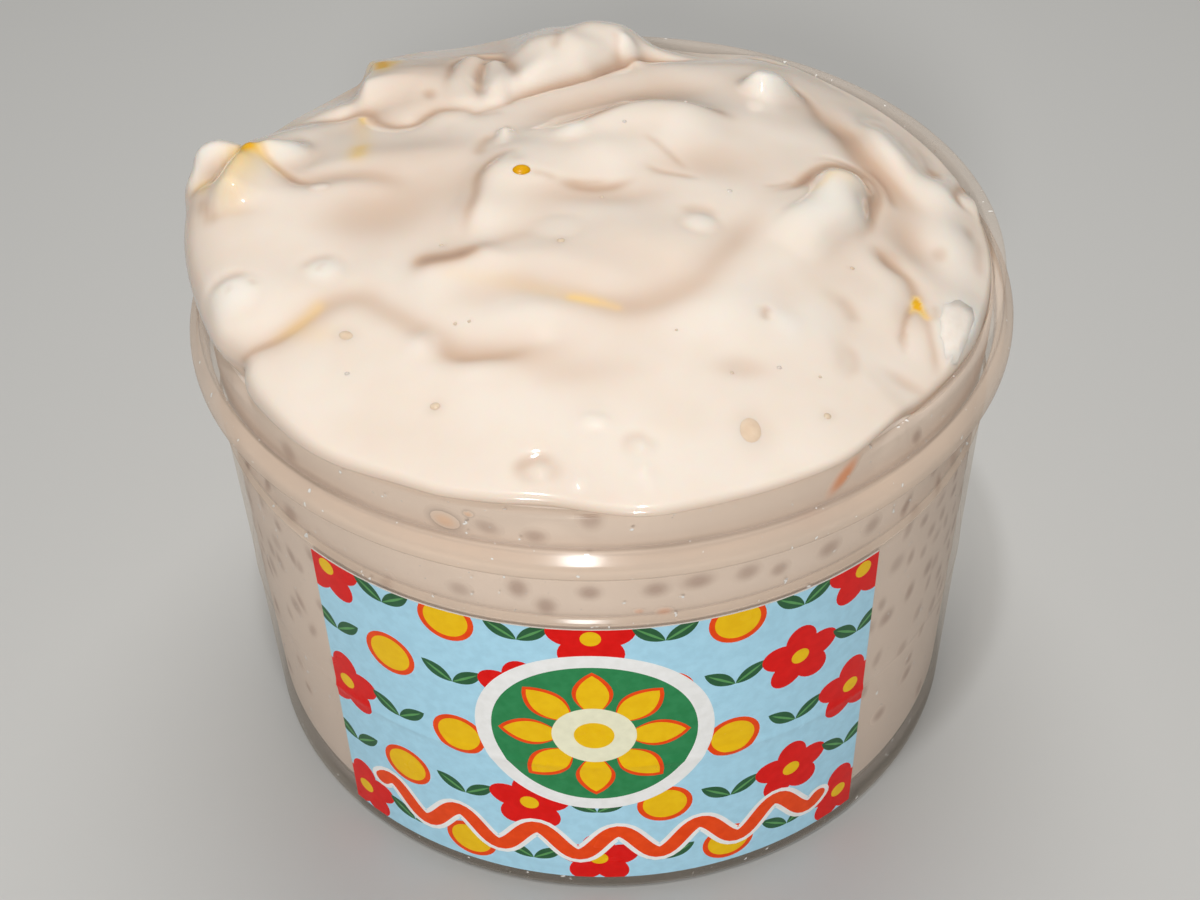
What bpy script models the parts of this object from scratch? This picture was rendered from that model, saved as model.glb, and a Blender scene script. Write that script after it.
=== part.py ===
"""A round snap-lid tub, without its lid, heaped with thick cream slime, with a printed label on the front.

Lengths below are in millimetres and scaled to metres by MM. The tub's axis is +Z through the origin, it
stands on z = 0, and the label faces -Y. A bearing is an angle in degrees from -Y towards +X. Three solids:
the tub (a turned shell), the slime (its contents and the heap above the rim) and the label.
"""

import math

import bpy
import numpy as np

MM = 0.001
COLUMNS = 92  # facets round the tub and round the rim of the slime
GAP = 0.3  # clearance between pieces that touch

# The tub: outer sizes first, then the walls behind them.
LIP_TOP = 57.3
LIP_RADIUS = 41.6
LIP_FOOT = 53.2  # where the plain lip wall ends and the lid skirt springs out
SKIRT_RADIUS = 43.0
SKIRT_FOOT = 50.7
SKIRT_THICKNESS = 0.7
NECK_TOP_RADIUS = 41.2
NECK_FOOT_RADIUS = 40.75
NECK_FOOT = 43.8
BEAD_RADIUS = 41.35
BEAD_FOOT = 42.75
SHOULDER_RADIUS = 41.15
BASE_RADIUS = 40.6
BASE_CORNER = 1.6
RIDGE_HEIGHT = 21.8  # faint moulded ring half-way up the wall
RIDGE_STEP = 0.12
WALL = 0.85
FLOOR_UNDERSIDE = 1.2
FLOOR_TOP = 2.2
FOOT_WIDTH = 0.9
BORE_RADIUS = 40.4  # inside of the lip

# The label, a thin sheet wrapped on the wall under the bead.
LABEL_WIDTH = 60.0
LABEL_BEARING = -2.75
LABEL_FOOT = 2.4
LABEL_TOP = 42.4
LABEL_THICKNESS = 0.3
LABEL_COLUMNS = 28

# The heap of slime: how far it reaches and how high its shoulder stands above the lip, at each bearing.
# Where it reaches less than the bore it sinks a little inside the lip, and where more it hangs over it.
HEAP_EDGE = {
    0: (42.3, 1.8),
    20: (42.6, 1.8),
    35: (41.1, 1.2),
    50: (39.9, 0.8),
    65: (39.5, 0.3),
    90: (39.3, -0.2),
    120: (39.4, -0.2),
    148: (40.0, 0.6),
    170: (39.9, 1.4),
    195: (39.6, 2.6),
    225: (39.8, 2.8),
    243: (41.2, 4.0),
    255: (42.9, 6.0),
    270: (42.5, 7.0),
    285: (41.5, 6.4),
    303: (41.3, 4.4),
    320: (42.7, 2.6),
    340: (41.3, 1.8),
}
HEAP_CROWN = 7.6  # the middle of the heap above the lip
SINK_PER_REACH = 2.5  # how fast the edge sinks below the lip where the reach falls short of the bore
DEEPEST_SINK = 2.5
LEAST_EDGE = 1.2  # thickness of the edge where the heap is thinnest
RING_STEP = 2.7  # spacing of the rings on top of the heap
ROLL_ANGLES = (-60, -30, 0, 30, 60, 90)  # from under the rolled edge up to its shoulder
ROLL_WEIGHTS = (0, 0, 0, 0.4, 0.8, 1)  # how much of the relief each of those rings takes


def clear_scene():
    for thing in list(bpy.data.objects):
        bpy.data.objects.remove(thing)


def plain_material(name, colour, roughness, alpha=1.0):
    material = bpy.data.materials.new(name)
    material.use_nodes = True
    shader = material.node_tree.nodes["Principled BSDF"]
    shader.inputs["Base Color"].default_value = (*colour, 1)
    shader.inputs["Roughness"].default_value = roughness
    shader.inputs["Metallic"].default_value = 0
    shader.inputs["Alpha"].default_value = alpha
    material.diffuse_color = (*colour, 1)
    return material


def make_solid(name, points, faces, material, sharp_angle=35):
    """A mesh object from points in millimetres, shaded smooth except across angles over sharp_angle degrees."""
    mesh = bpy.data.meshes.new(name)
    mesh.from_pydata([tuple(c * MM for c in point) for point in points], [], faces)
    mesh.validate()
    mesh.shade_smooth()
    mesh.set_sharp_from_angle(angle=math.radians(sharp_angle))
    mesh.materials.append(material)
    solid = bpy.data.objects.new(name, mesh)
    bpy.context.scene.collection.objects.link(solid)
    return solid


def on_ring(radius, bearing, height):
    angle = math.radians(bearing)
    return (radius * math.sin(angle), -radius * math.cos(angle), height)


def stitch(rings):
    """Points and outward faces of a closed skin through rings, from the bottom of the axis over the outside
    to the top of the axis. A ring is a list of points in bearing order; each has as many points as the last,
    or twice or half as many, and the first and last have one."""
    points, faces, starts = [], [], []
    for ring in rings:
        starts.append(len(points))
        points.extend(ring)
    for below, above, ring, upper in zip(starts, starts[1:], rings, rings[1:], strict=False):
        many, few = max(len(ring), len(upper)), min(len(ring), len(upper))
        for i in range(many):
            j = (i + 1) % many
            if few == 1 and len(ring) == 1:
                faces.append((below, above + j, above + i))
            elif few == 1:
                faces.append((below + i, below + j, above))
            elif len(ring) == len(upper):
                faces.append((below + i, below + j, above + j, above + i))
            elif len(ring) > len(upper) and i % 2 == 0:
                k, m = i // 2, (i // 2 + 1) % few
                last = (i + 2) % many
                faces.append((below + i, below + j, above + k))
                faces.append((below + j, above + m, above + k))
                faces.append((below + j, below + last, above + m))
    return points, faces


def arc(centre, radii, start, end, steps):
    """Points of a quarter or half ellipse in the (radius, height) plane, from start to end degrees."""
    found = []
    for k in range(steps + 1):
        angle = math.radians(start + (end - start) * k / steps)
        found.append((centre[0] + radii[0] * math.cos(angle), centre[1] + radii[1] * math.sin(angle)))
    return found


def wall_radius(height):
    """Outer radius of the tub's tapering wall."""
    share = (height - BASE_CORNER) / (BEAD_FOOT - BASE_CORNER)
    return BASE_RADIUS + (SHOULDER_RADIUS - BASE_RADIUS) * share


def tub_profile():
    """The tub's section, from the middle of its underside, over the lip, to the middle of its floor."""
    foot_inner = BASE_RADIUS - BASE_CORNER - FOOT_WIDTH
    ridge = wall_radius(RIDGE_HEIGHT)
    underside = [(0, FLOOR_UNDERSIDE), (foot_inner - 0.3, FLOOR_UNDERSIDE), (foot_inner, 0)]
    corner = arc((BASE_RADIUS - BASE_CORNER, BASE_CORNER), (BASE_CORNER, BASE_CORNER), -90, 0, 3)
    wall = [
        (ridge, RIDGE_HEIGHT - 0.3),
        (ridge + RIDGE_STEP, RIDGE_HEIGHT),
        (ridge, RIDGE_HEIGHT + 0.3),
        (SHOULDER_RADIUS, BEAD_FOOT),
    ]
    bead_middle = (BEAD_FOOT + NECK_FOOT) / 2
    bead = [(BEAD_RADIUS, bead_middle - 0.25), (BEAD_RADIUS, bead_middle + 0.15), (NECK_FOOT_RADIUS, NECK_FOOT)]
    root = LIP_FOOT - 0.9
    skirt_inner = SKIRT_RADIUS - SKIRT_THICKNESS
    skirt = [
        (NECK_TOP_RADIUS, root),
        (skirt_inner, root - 0.4),
        (skirt_inner, SKIRT_FOOT),
        (SKIRT_RADIUS, SKIRT_FOOT),
    ]
    crown = arc((LIP_RADIUS, SKIRT_FOOT + 0.4), (SKIRT_RADIUS - LIP_RADIUS, 2.0), 0, 75, 3)
    lip = [(LIP_RADIUS - 0.05, LIP_FOOT), (LIP_RADIUS, LIP_TOP - 0.25), (LIP_RADIUS - 0.25, LIP_TOP)]
    inside = [
        (BORE_RADIUS + 0.25, LIP_TOP),
        (BORE_RADIUS, LIP_TOP - 0.25),
        (BORE_RADIUS, root - 1.5),
        (NECK_FOOT_RADIUS - WALL, NECK_FOOT),
        (SHOULDER_RADIUS - WALL, BEAD_FOOT - 0.4),
        (BASE_RADIUS - WALL, FLOOR_TOP + 1.2),
        (BASE_RADIUS - WALL - 1.2, FLOOR_TOP),
        (0, FLOOR_TOP),
    ]
    return underside + corner + wall + bead + skirt + crown + lip + inside


def make_tub():
    rings = []
    for radius, height in tub_profile():
        if radius == 0:
            rings.append([(0, 0, height)])
        else:
            rings.append([on_ring(radius, 360 * i / COLUMNS, height) for i in range(COLUMNS)])
    points, faces = stitch(rings)
    hazy = plain_material("hazy polypropylene", (0.62, 0.57, 0.53), 0.35, alpha=0.6)
    return make_solid("tub", points, faces, hazy)


def ease_between(bearing, column):
    """One column of HEAP_EDGE at a bearing, eased between its neighbours round the circle."""
    stops = sorted(HEAP_EDGE)
    bearing %= 360
    after = next((s for s in stops if s > bearing), stops[0] + 360)
    before = max(s for s in stops if s <= bearing)
    share = (bearing - before) / (after - before)
    share = share * share * (3 - 2 * share)
    low, high = HEAP_EDGE[before][column], HEAP_EDGE[after % 360][column]
    return low + (high - low) * share


def heap_edge(bearing):
    """(radius, lowest height, shoulder height, inward roll, outward hang) of the heap's edge, heights from
    the lip."""
    reach, shoulder = ease_between(bearing, 0), ease_between(bearing, 1)
    inside = BORE_RADIUS - GAP
    hang = reach - inside
    foot = GAP - min(max(-hang * SINK_PER_REACH, 0), DEEPEST_SINK)
    shoulder = max(shoulder, foot + LEAST_EDGE)
    return max(reach, inside), foot, shoulder, 0.6 + 0.8 * (shoulder - foot), max(hang, 0)


def along(path, x, y):
    """(distance across, share along, side) of a point from a bent line; side is +1 on its left."""
    best = (math.inf, 0, 1)
    lengths = [math.dist(a, b) for a, b in zip(path, path[1:], strict=False)]
    total, done = sum(lengths), 0
    for (ax, ay), (bx, by), length in zip(path, path[1:], lengths, strict=False):
        ux, uy = (bx - ax) / length, (by - ay) / length
        run = min(max((x - ax) * ux + (y - ay) * uy, 0), length)
        off = math.hypot(x - ax - run * ux, y - ay - run * uy)
        if off < best[0]:
            side = 1 if ux * (y - ay) - uy * (x - ax) >= 0 else -1
            best = (off, (done + run) / total, side)
        done += length
    return best


def ridge(x, y, path, rise, left, right):
    """A fold along a path: its crest is rise high and falls away over left and right on its two sides."""
    off, share, side = along(path, x, y)
    width = left if side > 0 else right
    return rise * math.exp(-((off / width) ** 2)) * (0.55 + 0.45 * math.sin(math.pi * share))


def swell(x, y, centre, size, rise, turn=0):
    """A rounded hill, or with a negative rise a hollow, of the given half-sizes."""
    angle = math.radians(turn)
    dx, dy = x - centre[0], y - centre[1]
    u = (dx * math.cos(angle) + dy * math.sin(angle)) / size[0]
    v = (-dx * math.sin(angle) + dy * math.cos(angle)) / size[1]
    return rise * math.exp(-(u * u + v * v))


def relief(x, y):
    """Height of the folds and lumps on the heap at a place seen from above."""
    total = ridge(x, y, [(26, 4), (23, -2), (19, -9)], 2.6, 2.6, 2.2)  # finger by the right rim
    total += ridge(x, y, [(-5, 10), (0, 12), (6, 15), (14, 12)], 1.8, 2.0, 5.5)  # fold across the back
    total += ridge(x, y, [(-9, 11), (-9.5, 2), (-12, -7)], 1.8, 4.5, 2.2)  # fold running to the front
    total += ridge(x, y, [(-38, 9), (-33, 6), (-29, 1)], 1.4, 3.0, 3.0)  # fold at the left rim
    total -= ridge(x, y, [(-11, 14), (-4, 19), (3, 25)], 1.5, 1.8, 4.0)  # crease before the back lobe
    total -= ridge(x, y, [(-18, -12), (-12, -10)], 1.6, 2.4, 2.4)  # short deep crease
    total -= ridge(x, y, [(-10, -15), (-1, -19), (6, -19), (12, -11)], 0.9, 2.4, 2.4)  # creases across the front
    total -= ridge(x, y, [(-32, -22), (-26, -17), (-17, -21), (-11, -25), (0, -22)], 0.9, 2.2, 2.2)
    total -= ridge(x, y, [(27, -8), (30, -15), (29, -22)], 1.2, 1.8, 1.8)  # crease at the right
    total += swell(x, y, (20, 23), (3.4, 4.2), 2.6)  # lumps, from the right rim round by the back
    total += swell(x, y, (36, -15), (2.6, 3.6), 1.6)
    total += swell(x, y, (37, 5), (2.6, 3.4), 1.4)
    total += swell(x, y, (30, 10), (3.0, 5.0), 1.2, 20)
    total += swell(x, y, (0, 33), (3.6, 4.0), 3.4)
    total += swell(x, y, (-6, 29), (3.0, 5.0), 1.8)
    total += swell(x, y, (-21, 22), (3.6, 4.6), 1.6)
    total += swell(x, y, (-29, 19), (3.0, 3.2), 1.4)
    total += swell(x, y, (-39, 8), (2.8, 3.4), 1.6)
    total += swell(x, y, (0, -13), (8.0, 4.0), 0.7)
    total += swell(x, y, (8, 8), (5.0, 4.0), 0.9, -40)
    return total


def heap_ring(angle, weight):
    """One ring round the rolled edge of the heap; angle is the place on the roll and weight that of relief."""
    ring = []
    for i in range(COLUMNS):
        bearing = 360 * i / COLUMNS
        radius, foot, shoulder, roll, hang = heap_edge(bearing)
        middle = foot + 0.45 * (shoulder - foot)
        inward, rise = (roll, shoulder - middle) if angle > 0 else (hang, middle - foot)
        turn = math.radians(angle)
        x, y, z = on_ring(radius - inward * (1 - math.cos(turn)), bearing, middle + rise * math.sin(turn))
        ring.append((x, y, LIP_TOP + z + weight * relief(x, y)))
    return ring


def top_ring(share, count):
    """A ring on top of the heap, at a share of the way from the middle to the shoulder."""
    ring = []
    for i in range(count):
        bearing = 360 * i / count
        radius, _, shoulder, roll, _ = heap_edge(bearing)
        height = shoulder + (HEAP_CROWN - shoulder) * (1 - share * share)
        x, y, _ = on_ring((radius - roll) * share, bearing, 0)
        ring.append((x, y, LIP_TOP + height + relief(x, y)))
    return ring


def make_slime():
    """The slime fills the tub to GAP inside its walls and rises into the heap."""
    below = [
        (BASE_RADIUS - WALL - 1.4, FLOOR_TOP + GAP),
        (BASE_RADIUS - WALL - GAP, FLOOR_TOP + 1.4 + GAP),
        (SHOULDER_RADIUS - WALL - GAP, BEAD_FOOT - 0.6),
        (NECK_FOOT_RADIUS - WALL - GAP, NECK_FOOT - 0.1),
        (BORE_RADIUS - GAP, LIP_FOOT - 2.3),
    ]
    rings = [[(0, 0, FLOOR_TOP + GAP)]]
    for radius, height in below:
        rings.append([on_ring(radius, 360 * i / COLUMNS, height) for i in range(COLUMNS)])
    rings.append(
        [on_ring(BORE_RADIUS - GAP, b, LIP_TOP + heap_edge(b)[1]) for b in np.linspace(0, 360, COLUMNS, False)]
    )
    for angle, weight in zip(ROLL_ANGLES, ROLL_WEIGHTS, strict=True):
        rings.append(heap_ring(angle, weight))
    steps = round(BORE_RADIUS / RING_STEP)
    for k in range(steps - 1, 0, -1):
        share = k / steps
        count = COLUMNS if share > 0.5 else COLUMNS // 2 if share > 0.22 else COLUMNS // 4
        rings.append(top_ring(share, count))
    rings.append([(0, 0, LIP_TOP + HEAP_CROWN + relief(0, 0))])
    points, faces = stitch(rings)
    cream = plain_material("cream slime", (0.87, 0.74, 0.61), 0.25)
    return make_solid("slime", points, faces, cream, sharp_angle=60)


def make_label():
    """A sheet of even thickness wrapped on the wall, clear of it and of its moulded ring."""
    middle = (wall_radius(LABEL_FOOT) + wall_radius(LABEL_TOP)) / 2
    half_angle = math.degrees(LABEL_WIDTH / 2 / middle)
    points, faces = [], []
    for i in range(LABEL_COLUMNS + 1):
        bearing = LABEL_BEARING + half_angle * (2 * i / LABEL_COLUMNS - 1)
        for height in (LABEL_FOOT, LABEL_TOP):
            inner = wall_radius(height) + RIDGE_STEP + GAP
            points.append(on_ring(inner, bearing, height))
            points.append(on_ring(inner + LABEL_THICKNESS, bearing, height))
    for i in range(LABEL_COLUMNS):
        low_in, low_out, high_in, high_out = range(4 * i, 4 * i + 4)
        faces.append((low_out, low_out + 4, high_out + 4, high_out))
        faces.append((low_in + 4, low_in, high_in, high_in + 4))
        faces.append((low_in, low_in + 4, low_out + 4, low_out))
        faces.append((high_out, high_out + 4, high_in + 4, high_in))
    last = 4 * LABEL_COLUMNS
    faces.append((0, 1, 3, 2))
    faces.append((last + 1, last, last + 2, last + 3))
    return make_solid("label", points, faces, plain_material("printed label", (0.35, 0.62, 0.75), 0.4))


def main():
    clear_scene()
    make_tub()
    make_slime()
    make_label()


main()
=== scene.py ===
"""How the tub of mango sticky rice slime looks.

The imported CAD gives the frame: the tub's axis is +Z through the origin and the label faces -Y. Lengths
below are in millimetres and scaled to metres by MM. A bearing is an angle in degrees from -Y towards +X.
A place on the heap is given as it would be on a plan, x to the right and y to the back; past the heap's
shoulder the plan is unrolled, so that distances run down the rolled edge.
"""

import math

import bpy
import numpy as np
from mathutils import Matrix, Vector
from mathutils.bvhtree import BVHTree
from mathutils.geometry import delaunay_2d_cdt


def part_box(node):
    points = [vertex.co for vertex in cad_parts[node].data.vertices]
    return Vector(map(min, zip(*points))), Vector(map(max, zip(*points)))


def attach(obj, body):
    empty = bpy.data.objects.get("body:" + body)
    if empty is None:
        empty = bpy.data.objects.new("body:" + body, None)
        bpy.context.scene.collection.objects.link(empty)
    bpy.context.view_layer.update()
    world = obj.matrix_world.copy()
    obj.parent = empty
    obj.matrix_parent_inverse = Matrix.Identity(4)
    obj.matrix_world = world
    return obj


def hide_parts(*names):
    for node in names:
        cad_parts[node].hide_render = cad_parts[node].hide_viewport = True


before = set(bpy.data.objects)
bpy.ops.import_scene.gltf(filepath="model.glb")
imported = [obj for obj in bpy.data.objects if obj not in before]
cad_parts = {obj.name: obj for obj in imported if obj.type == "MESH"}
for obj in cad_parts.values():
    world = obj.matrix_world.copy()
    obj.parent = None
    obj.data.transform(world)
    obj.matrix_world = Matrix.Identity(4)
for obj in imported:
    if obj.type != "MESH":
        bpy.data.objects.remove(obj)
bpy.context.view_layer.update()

MM = 0.001
tub_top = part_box("tub")[1].z / MM
tub_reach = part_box("tub")[1].x / MM
heap_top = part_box("slime")[1].z / MM
label_low, label_high = (corner.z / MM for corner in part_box("label"))

# ---------------------------------------------------------------- shared helpers


def new_object(name, points, faces, materials, face_materials=None, sharp_angle=None):
    mesh = bpy.data.meshes.new(name)
    mesh.from_pydata([tuple(p) for p in np.asarray(points, float) * MM], [], [tuple(f) for f in faces])
    mesh.shade_smooth()
    if sharp_angle is not None:
        mesh.set_sharp_from_angle(angle=math.radians(sharp_angle))
    for material in materials:
        mesh.materials.append(material)
    if face_materials is not None:
        mesh.polygons.foreach_set("material_index", np.asarray(face_materials, dtype=np.int32))
    piece = bpy.data.objects.new(name, mesh)
    bpy.context.scene.collection.objects.link(piece)
    return piece


def paint(piece, layer_name, colours):
    """Gives every point of a piece its colour, in an attribute that the material reads."""
    layer = piece.data.color_attributes.new(layer_name, "FLOAT_COLOR", "POINT")
    layer.data.foreach_set("color", np.asarray(colours, np.float32).ravel())


def round_axis(radius, angle, height):
    """Points at these radii, angles in radians from -Y towards +X, and heights."""
    return np.column_stack(np.broadcast_arrays(radius * np.sin(angle), -radius * np.cos(angle), height))


def placed(u, v, turn, x=0, y=0):
    """A shape's own u and v turned by this many degrees and moved to a place."""
    c, s = math.cos(math.radians(turn)), math.sin(math.radians(turn))
    return x + u * c - v * s, y + u * s + v * c


def ring_faces(starts, columns, first_tip=None, last_tip=None, flip=False):
    """Faces between rings of points, given where each ring starts, with fans that close them to a tip."""
    pairs = [(i, (i + 1) % columns) for i in range(columns)]
    faces = []
    for a, b in zip(starts, starts[1:], strict=False):
        faces += [(a + i, a + j, b + j, b + i) for i, j in pairs]
    if first_tip is not None:
        faces += [(first_tip, starts[0] + j, starts[0] + i) for i, j in pairs]
    if last_tip is not None:
        faces += [(starts[-1] + i, starts[-1] + j, last_tip) for i, j in pairs]
    return [(face[0], *face[:0:-1]) for face in faces] if flip else faces


# ---------------------------------------------------------------- the tub's section

LIP_TOP = tub_top
LIP_RADIUS = tub_reach - 1.4
LIP_FOOT = LIP_TOP - 4.1
SKIRT_RADIUS = tub_reach
SKIRT_FOOT = LIP_TOP - 6.6
SKIRT_THICKNESS = 0.7
NECK_TOP = LIP_FOOT - 0.9
NECK_TOP_RADIUS = 41.2
NECK_FOOT_RADIUS = 40.75
NECK_FOOT = 43.8
BEAD_RADIUS = 41.35
BEAD_FOOT = 42.75
SHOULDER_RADIUS = 41.15
BASE_RADIUS = 40.6
BASE_CORNER = 1.6
RIDGE_HEIGHT = 21.8
RIDGE_HALF_WIDTH = 0.35
RIDGE_STEP = 0.12
WALL = 0.85
FLOOR_UNDERSIDE = 1.2
FLOOR_TOP = 2.2
FOOT_WIDTH = 0.9
BORE_RADIUS = 40.4
COLUMNS = 240
FILLET_SHARE = 0.45  # the most of an edge that a fillet at its end takes up
SHARP_TUB = 50  # angle in degrees above which an edge of the tub shows


def wall_radius(height):
    share = (height - BASE_CORNER) / (BEAD_FOOT - BASE_CORNER)
    return BASE_RADIUS + (SHOULDER_RADIUS - BASE_RADIUS) * share


def filleted(corners, steps=4):
    """A section through corners (radius, height, fillet), each corner rounded by its fillet."""
    section = []
    for k, (r, z, fillet) in enumerate(corners):
        if fillet == 0 or k in (0, len(corners) - 1):
            section.append((r, z))
            continue
        here = np.array([r, z])
        back = np.array(corners[k - 1][:2]) - here
        ahead = np.array(corners[k + 1][:2]) - here
        cut = min(fillet, FILLET_SHARE * np.hypot(*back), FILLET_SHARE * np.hypot(*ahead))
        start = here + back / np.hypot(*back) * cut
        end = here + ahead / np.hypot(*ahead) * cut
        for t in np.linspace(0, 1, steps + 1):
            section.append(tuple((1 - t) ** 2 * start + 2 * t * (1 - t) * here + t * t * end))
    return section


def tub_section():
    """The tub's section from the axis under the floor, up the outside, over the lip and down the inside."""
    foot_inner = BASE_RADIUS - BASE_CORNER - FOOT_WIDTH
    ridge = wall_radius(RIDGE_HEIGHT)
    skirt_inner = SKIRT_RADIUS - SKIRT_THICKNESS
    bead_middle = (BEAD_FOOT + NECK_FOOT) / 2
    return filleted([
        (0, FLOOR_UNDERSIDE, 0),
        (foot_inner - 0.3, FLOOR_UNDERSIDE, 0.3),
        (foot_inner, 0, 0.3),
        (BASE_RADIUS - BASE_CORNER, 0, 0.2),
        (BASE_RADIUS, 0.15, BASE_CORNER),
        (wall_radius(10), 10, 0.5),
        (ridge, RIDGE_HEIGHT - RIDGE_HALF_WIDTH, 0.3),
        (ridge + RIDGE_STEP, RIDGE_HEIGHT, 0.3),
        (ridge, RIDGE_HEIGHT + RIDGE_HALF_WIDTH, 0.3),
        (wall_radius(32), 32, 0.5),
        (SHOULDER_RADIUS, BEAD_FOOT, 0.2),
        (BEAD_RADIUS, bead_middle - 0.15, 0.3),
        (NECK_FOOT_RADIUS, NECK_FOOT, 0.5),
        (NECK_TOP_RADIUS, NECK_TOP, 0.4),
        (skirt_inner, NECK_TOP - 0.25, 0.3),
        (skirt_inner, SKIRT_FOOT, 0.15),
        (SKIRT_RADIUS, SKIRT_FOOT, 0.25),
        (SKIRT_RADIUS, LIP_FOOT - 1.3, 0.9),
        (LIP_RADIUS + 0.45, LIP_FOOT - 0.1, 0.5),
        (LIP_RADIUS, LIP_FOOT + 0.6, 0.5),
        (LIP_RADIUS, LIP_TOP, 0.4),
        (BORE_RADIUS, LIP_TOP, 0.4),
        (BORE_RADIUS, NECK_TOP - 1.5, 0.5),
        (NECK_FOOT_RADIUS - WALL, NECK_FOOT, 0.5),
        (SHOULDER_RADIUS - WALL, BEAD_FOOT - 0.4, 0.5),
        (BASE_RADIUS - WALL, FLOOR_TOP, 1.2),
        (0, FLOOR_TOP, 0),
    ])


def make_tub(material):
    """The tub's section turned round the axis, which it starts and ends on."""
    section = tub_section()
    angles = np.radians(np.arange(COLUMNS) * 360 / COLUMNS)
    points = [(0, 0, section[0][1])]
    for r, z in section[1:-1]:
        points.extend(round_axis(r, angles, z))
    points.append((0, 0, section[-1][1]))
    starts = [1 + k * COLUMNS for k in range(len(section) - 2)]
    faces = ring_faces(starts, COLUMNS, 0, len(points) - 1)
    return new_object("tub_shell", points, faces, [material], sharp_angle=SHARP_TUB)


# ---------------------------------------------------------------- the heap of slime

GAP = 0.3
# How far the heap reaches and how high its shoulder stands above the lip, at each bearing: as in the CAD,
# but lying further over the lip at the back and lower inside it at the right.
HEAP_EDGE = {
    0: (42.3, 1.8), 20: (42.6, 1.8), 35: (41.1, 1.2), 50: (39.4, 0.6), 65: (38.8, 0.0), 90: (38.8, -0.8),
    120: (39.1, -0.9), 146: (39.7, 0.3), 156: (39.7, 0.1), 167: (38.5, -2.2), 183: (40.8, 1.8),
    195: (40.6, 0.8), 213: (40.6, 1.0), 226: (40.0, -1.4), 236: (40.4, -0.2), 244: (41.2, 2.4),
    250: (42.0, 4.0), 256: (42.7, 5.9), 268: (42.5, 6.6), 285: (41.5, 6.2), 303: (41.3, 4.2),
    320: (42.7, 2.6), 340: (41.3, 1.8),
}
# Waves in the edge that are too small for the CAD: bearing, half width, and how much further it reaches.
EDGE_WAVES = ((-57, 3.2, -1.3), (-36, 7, 0.25), (-21, 4, 0.3), (-7, 6, -0.85), (5, 4.5, 0.35),
              (17, 6, -0.2), (31, 5, 0.3), (46, 4, -0.3))
EDGE_FADE = 5  # how fast the edge's unevenness fades towards the crown
CALM = 9  # the even edge is the mean over this many steps of 2 degrees each way
EASING = 10  # the eased edge is the mean over this many degrees each way
HEAP_CROWN = 7.6
SINK_PER_REACH = 2.5
DEEPEST_SINK = 2.5
LEAST_EDGE = 1.2
WAIST = 0.45  # where the rolled edge is widest, as a share of the way up from its foot
ROLL_LEAST = 0.6  # how far the edge rolls inward, and what its height adds to that
ROLL_SHARE = 0.8
LEAST_ROUND = 0.2  # the least radius of the roll that counts for the direction of relief
HEAP_RINGS = 135
ROLL_STEPS = 18
ROLL_END = math.radians(-60)
RELIEF_END = -15  # angle on the roll, in degrees, where relief has faded, and how many degrees that takes
RELIEF_FADE = 60
GRID_REACH = 54  # half the side of the square plan that holds the relief
GRID_STEP = 0.2
WANDER = 0.3  # how far small random waves push features off their lines
WANDER_SIZE = 8
UNEVEN = 0.16  # random swells of the whole heap
UNEVEN_SIZE = 12
SOFTNESS = 0.75  # blur of the broad forms
SLUMP = 0.24  # blur of everything, as thick slime settles
HOLLOW_SHADE = ((0.7, 1.0), (2.0, 0.5), (4.5, 0.35))  # (blur radius, painted shade for each millimetre below it)
HUMP_LIGHT = 0.3  # painted light on humps, as a share of the hollows' painted shade
CREST = 0.15  # how blunt a fold's crest is
FOLD_REACH = 2.5  # how far a fold reaches, in widths of its wider side
FOLD_POWER = 1.6  # power of the fade down a fold's sides, which at 2 would be a bell curve
FOLD_SHADE = (0.6, 0.9)  # middle and half width of the painted shade on its steeper side, in widths of that side
SEAM_REACH = 2.2  # how far a seam's bulges reach, in fade widths
SEAM_DIG = 0.35  # how deep a seam cuts below the skin, as a share of its bulges
TINT_POWER = 1.5  # power of the fade of a lump's painted shade and its paleness
WHITE_INSET = 1.3  # how much smaller an area its white covers
BEAD_REACH = 3.2  # how far a bead's dip and shade reach, in its radii
BEAD_DIP = 0.25  # depth of the dip round a bead, as a share of its height
BEAD_RING = (1.15, 0.22)  # radius and half width of the shade round it, in its radii
MARK_REACH = 3  # how far a mark and a stain are drawn, in their widths
STAIN_REACH = 2.5


def smoothstep(share):
    return share * share * (3 - 2 * share)


def eased(bearings, column):
    """One column of HEAP_EDGE at each bearing, eased between its neighbours round the circle."""
    stops = np.array(sorted(HEAP_EDGE) + [360 + min(HEAP_EDGE)], float)
    values = np.array([HEAP_EDGE[s % 360][column] for s in stops.astype(int)])
    bearings = np.mod(bearings, 360)
    place = np.searchsorted(stops, bearings, side="right") - 1
    share = smoothstep((bearings - stops[place]) / (stops[place + 1] - stops[place]))
    return values[place] + (values[place + 1] - values[place]) * share


def smoothed(bearings, column):
    return np.mean([eased(bearings + turn, column) for turn in range(-EASING, EASING + 1)], axis=0)


def edge_waves(bearings):
    total = np.zeros(np.shape(bearings))
    for middle, half_width, change in EDGE_WAVES:
        off = (bearings - middle + 180) % 360 - 180
        total = total + change * np.exp(-((off / half_width) ** 2))
    return total


def larger(first, second, blend=0.3):
    """The larger of two values, passing smoothly from one to the other."""
    return (first + second + np.sqrt((first - second) ** 2 + blend**2)) / 2


def heap_edge(bearings):
    """(radius, lowest height, shoulder height, inward roll, outward hang) of the heap's edge, heights from
    the lip."""
    reach, shoulder = smoothed(bearings, 0) + edge_waves(bearings), smoothed(bearings, 1)
    inside = BORE_RADIUS - GAP
    hang = larger(reach - inside, 0)
    foot = GAP - DEEPEST_SINK * np.tanh(larger(inside - reach, 0) * SINK_PER_REACH / DEEPEST_SINK)
    shoulder = larger(shoulder, foot + LEAST_EDGE)
    return inside + hang, foot, shoulder, ROLL_LEAST + ROLL_SHARE * (shoulder - foot), hang


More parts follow.
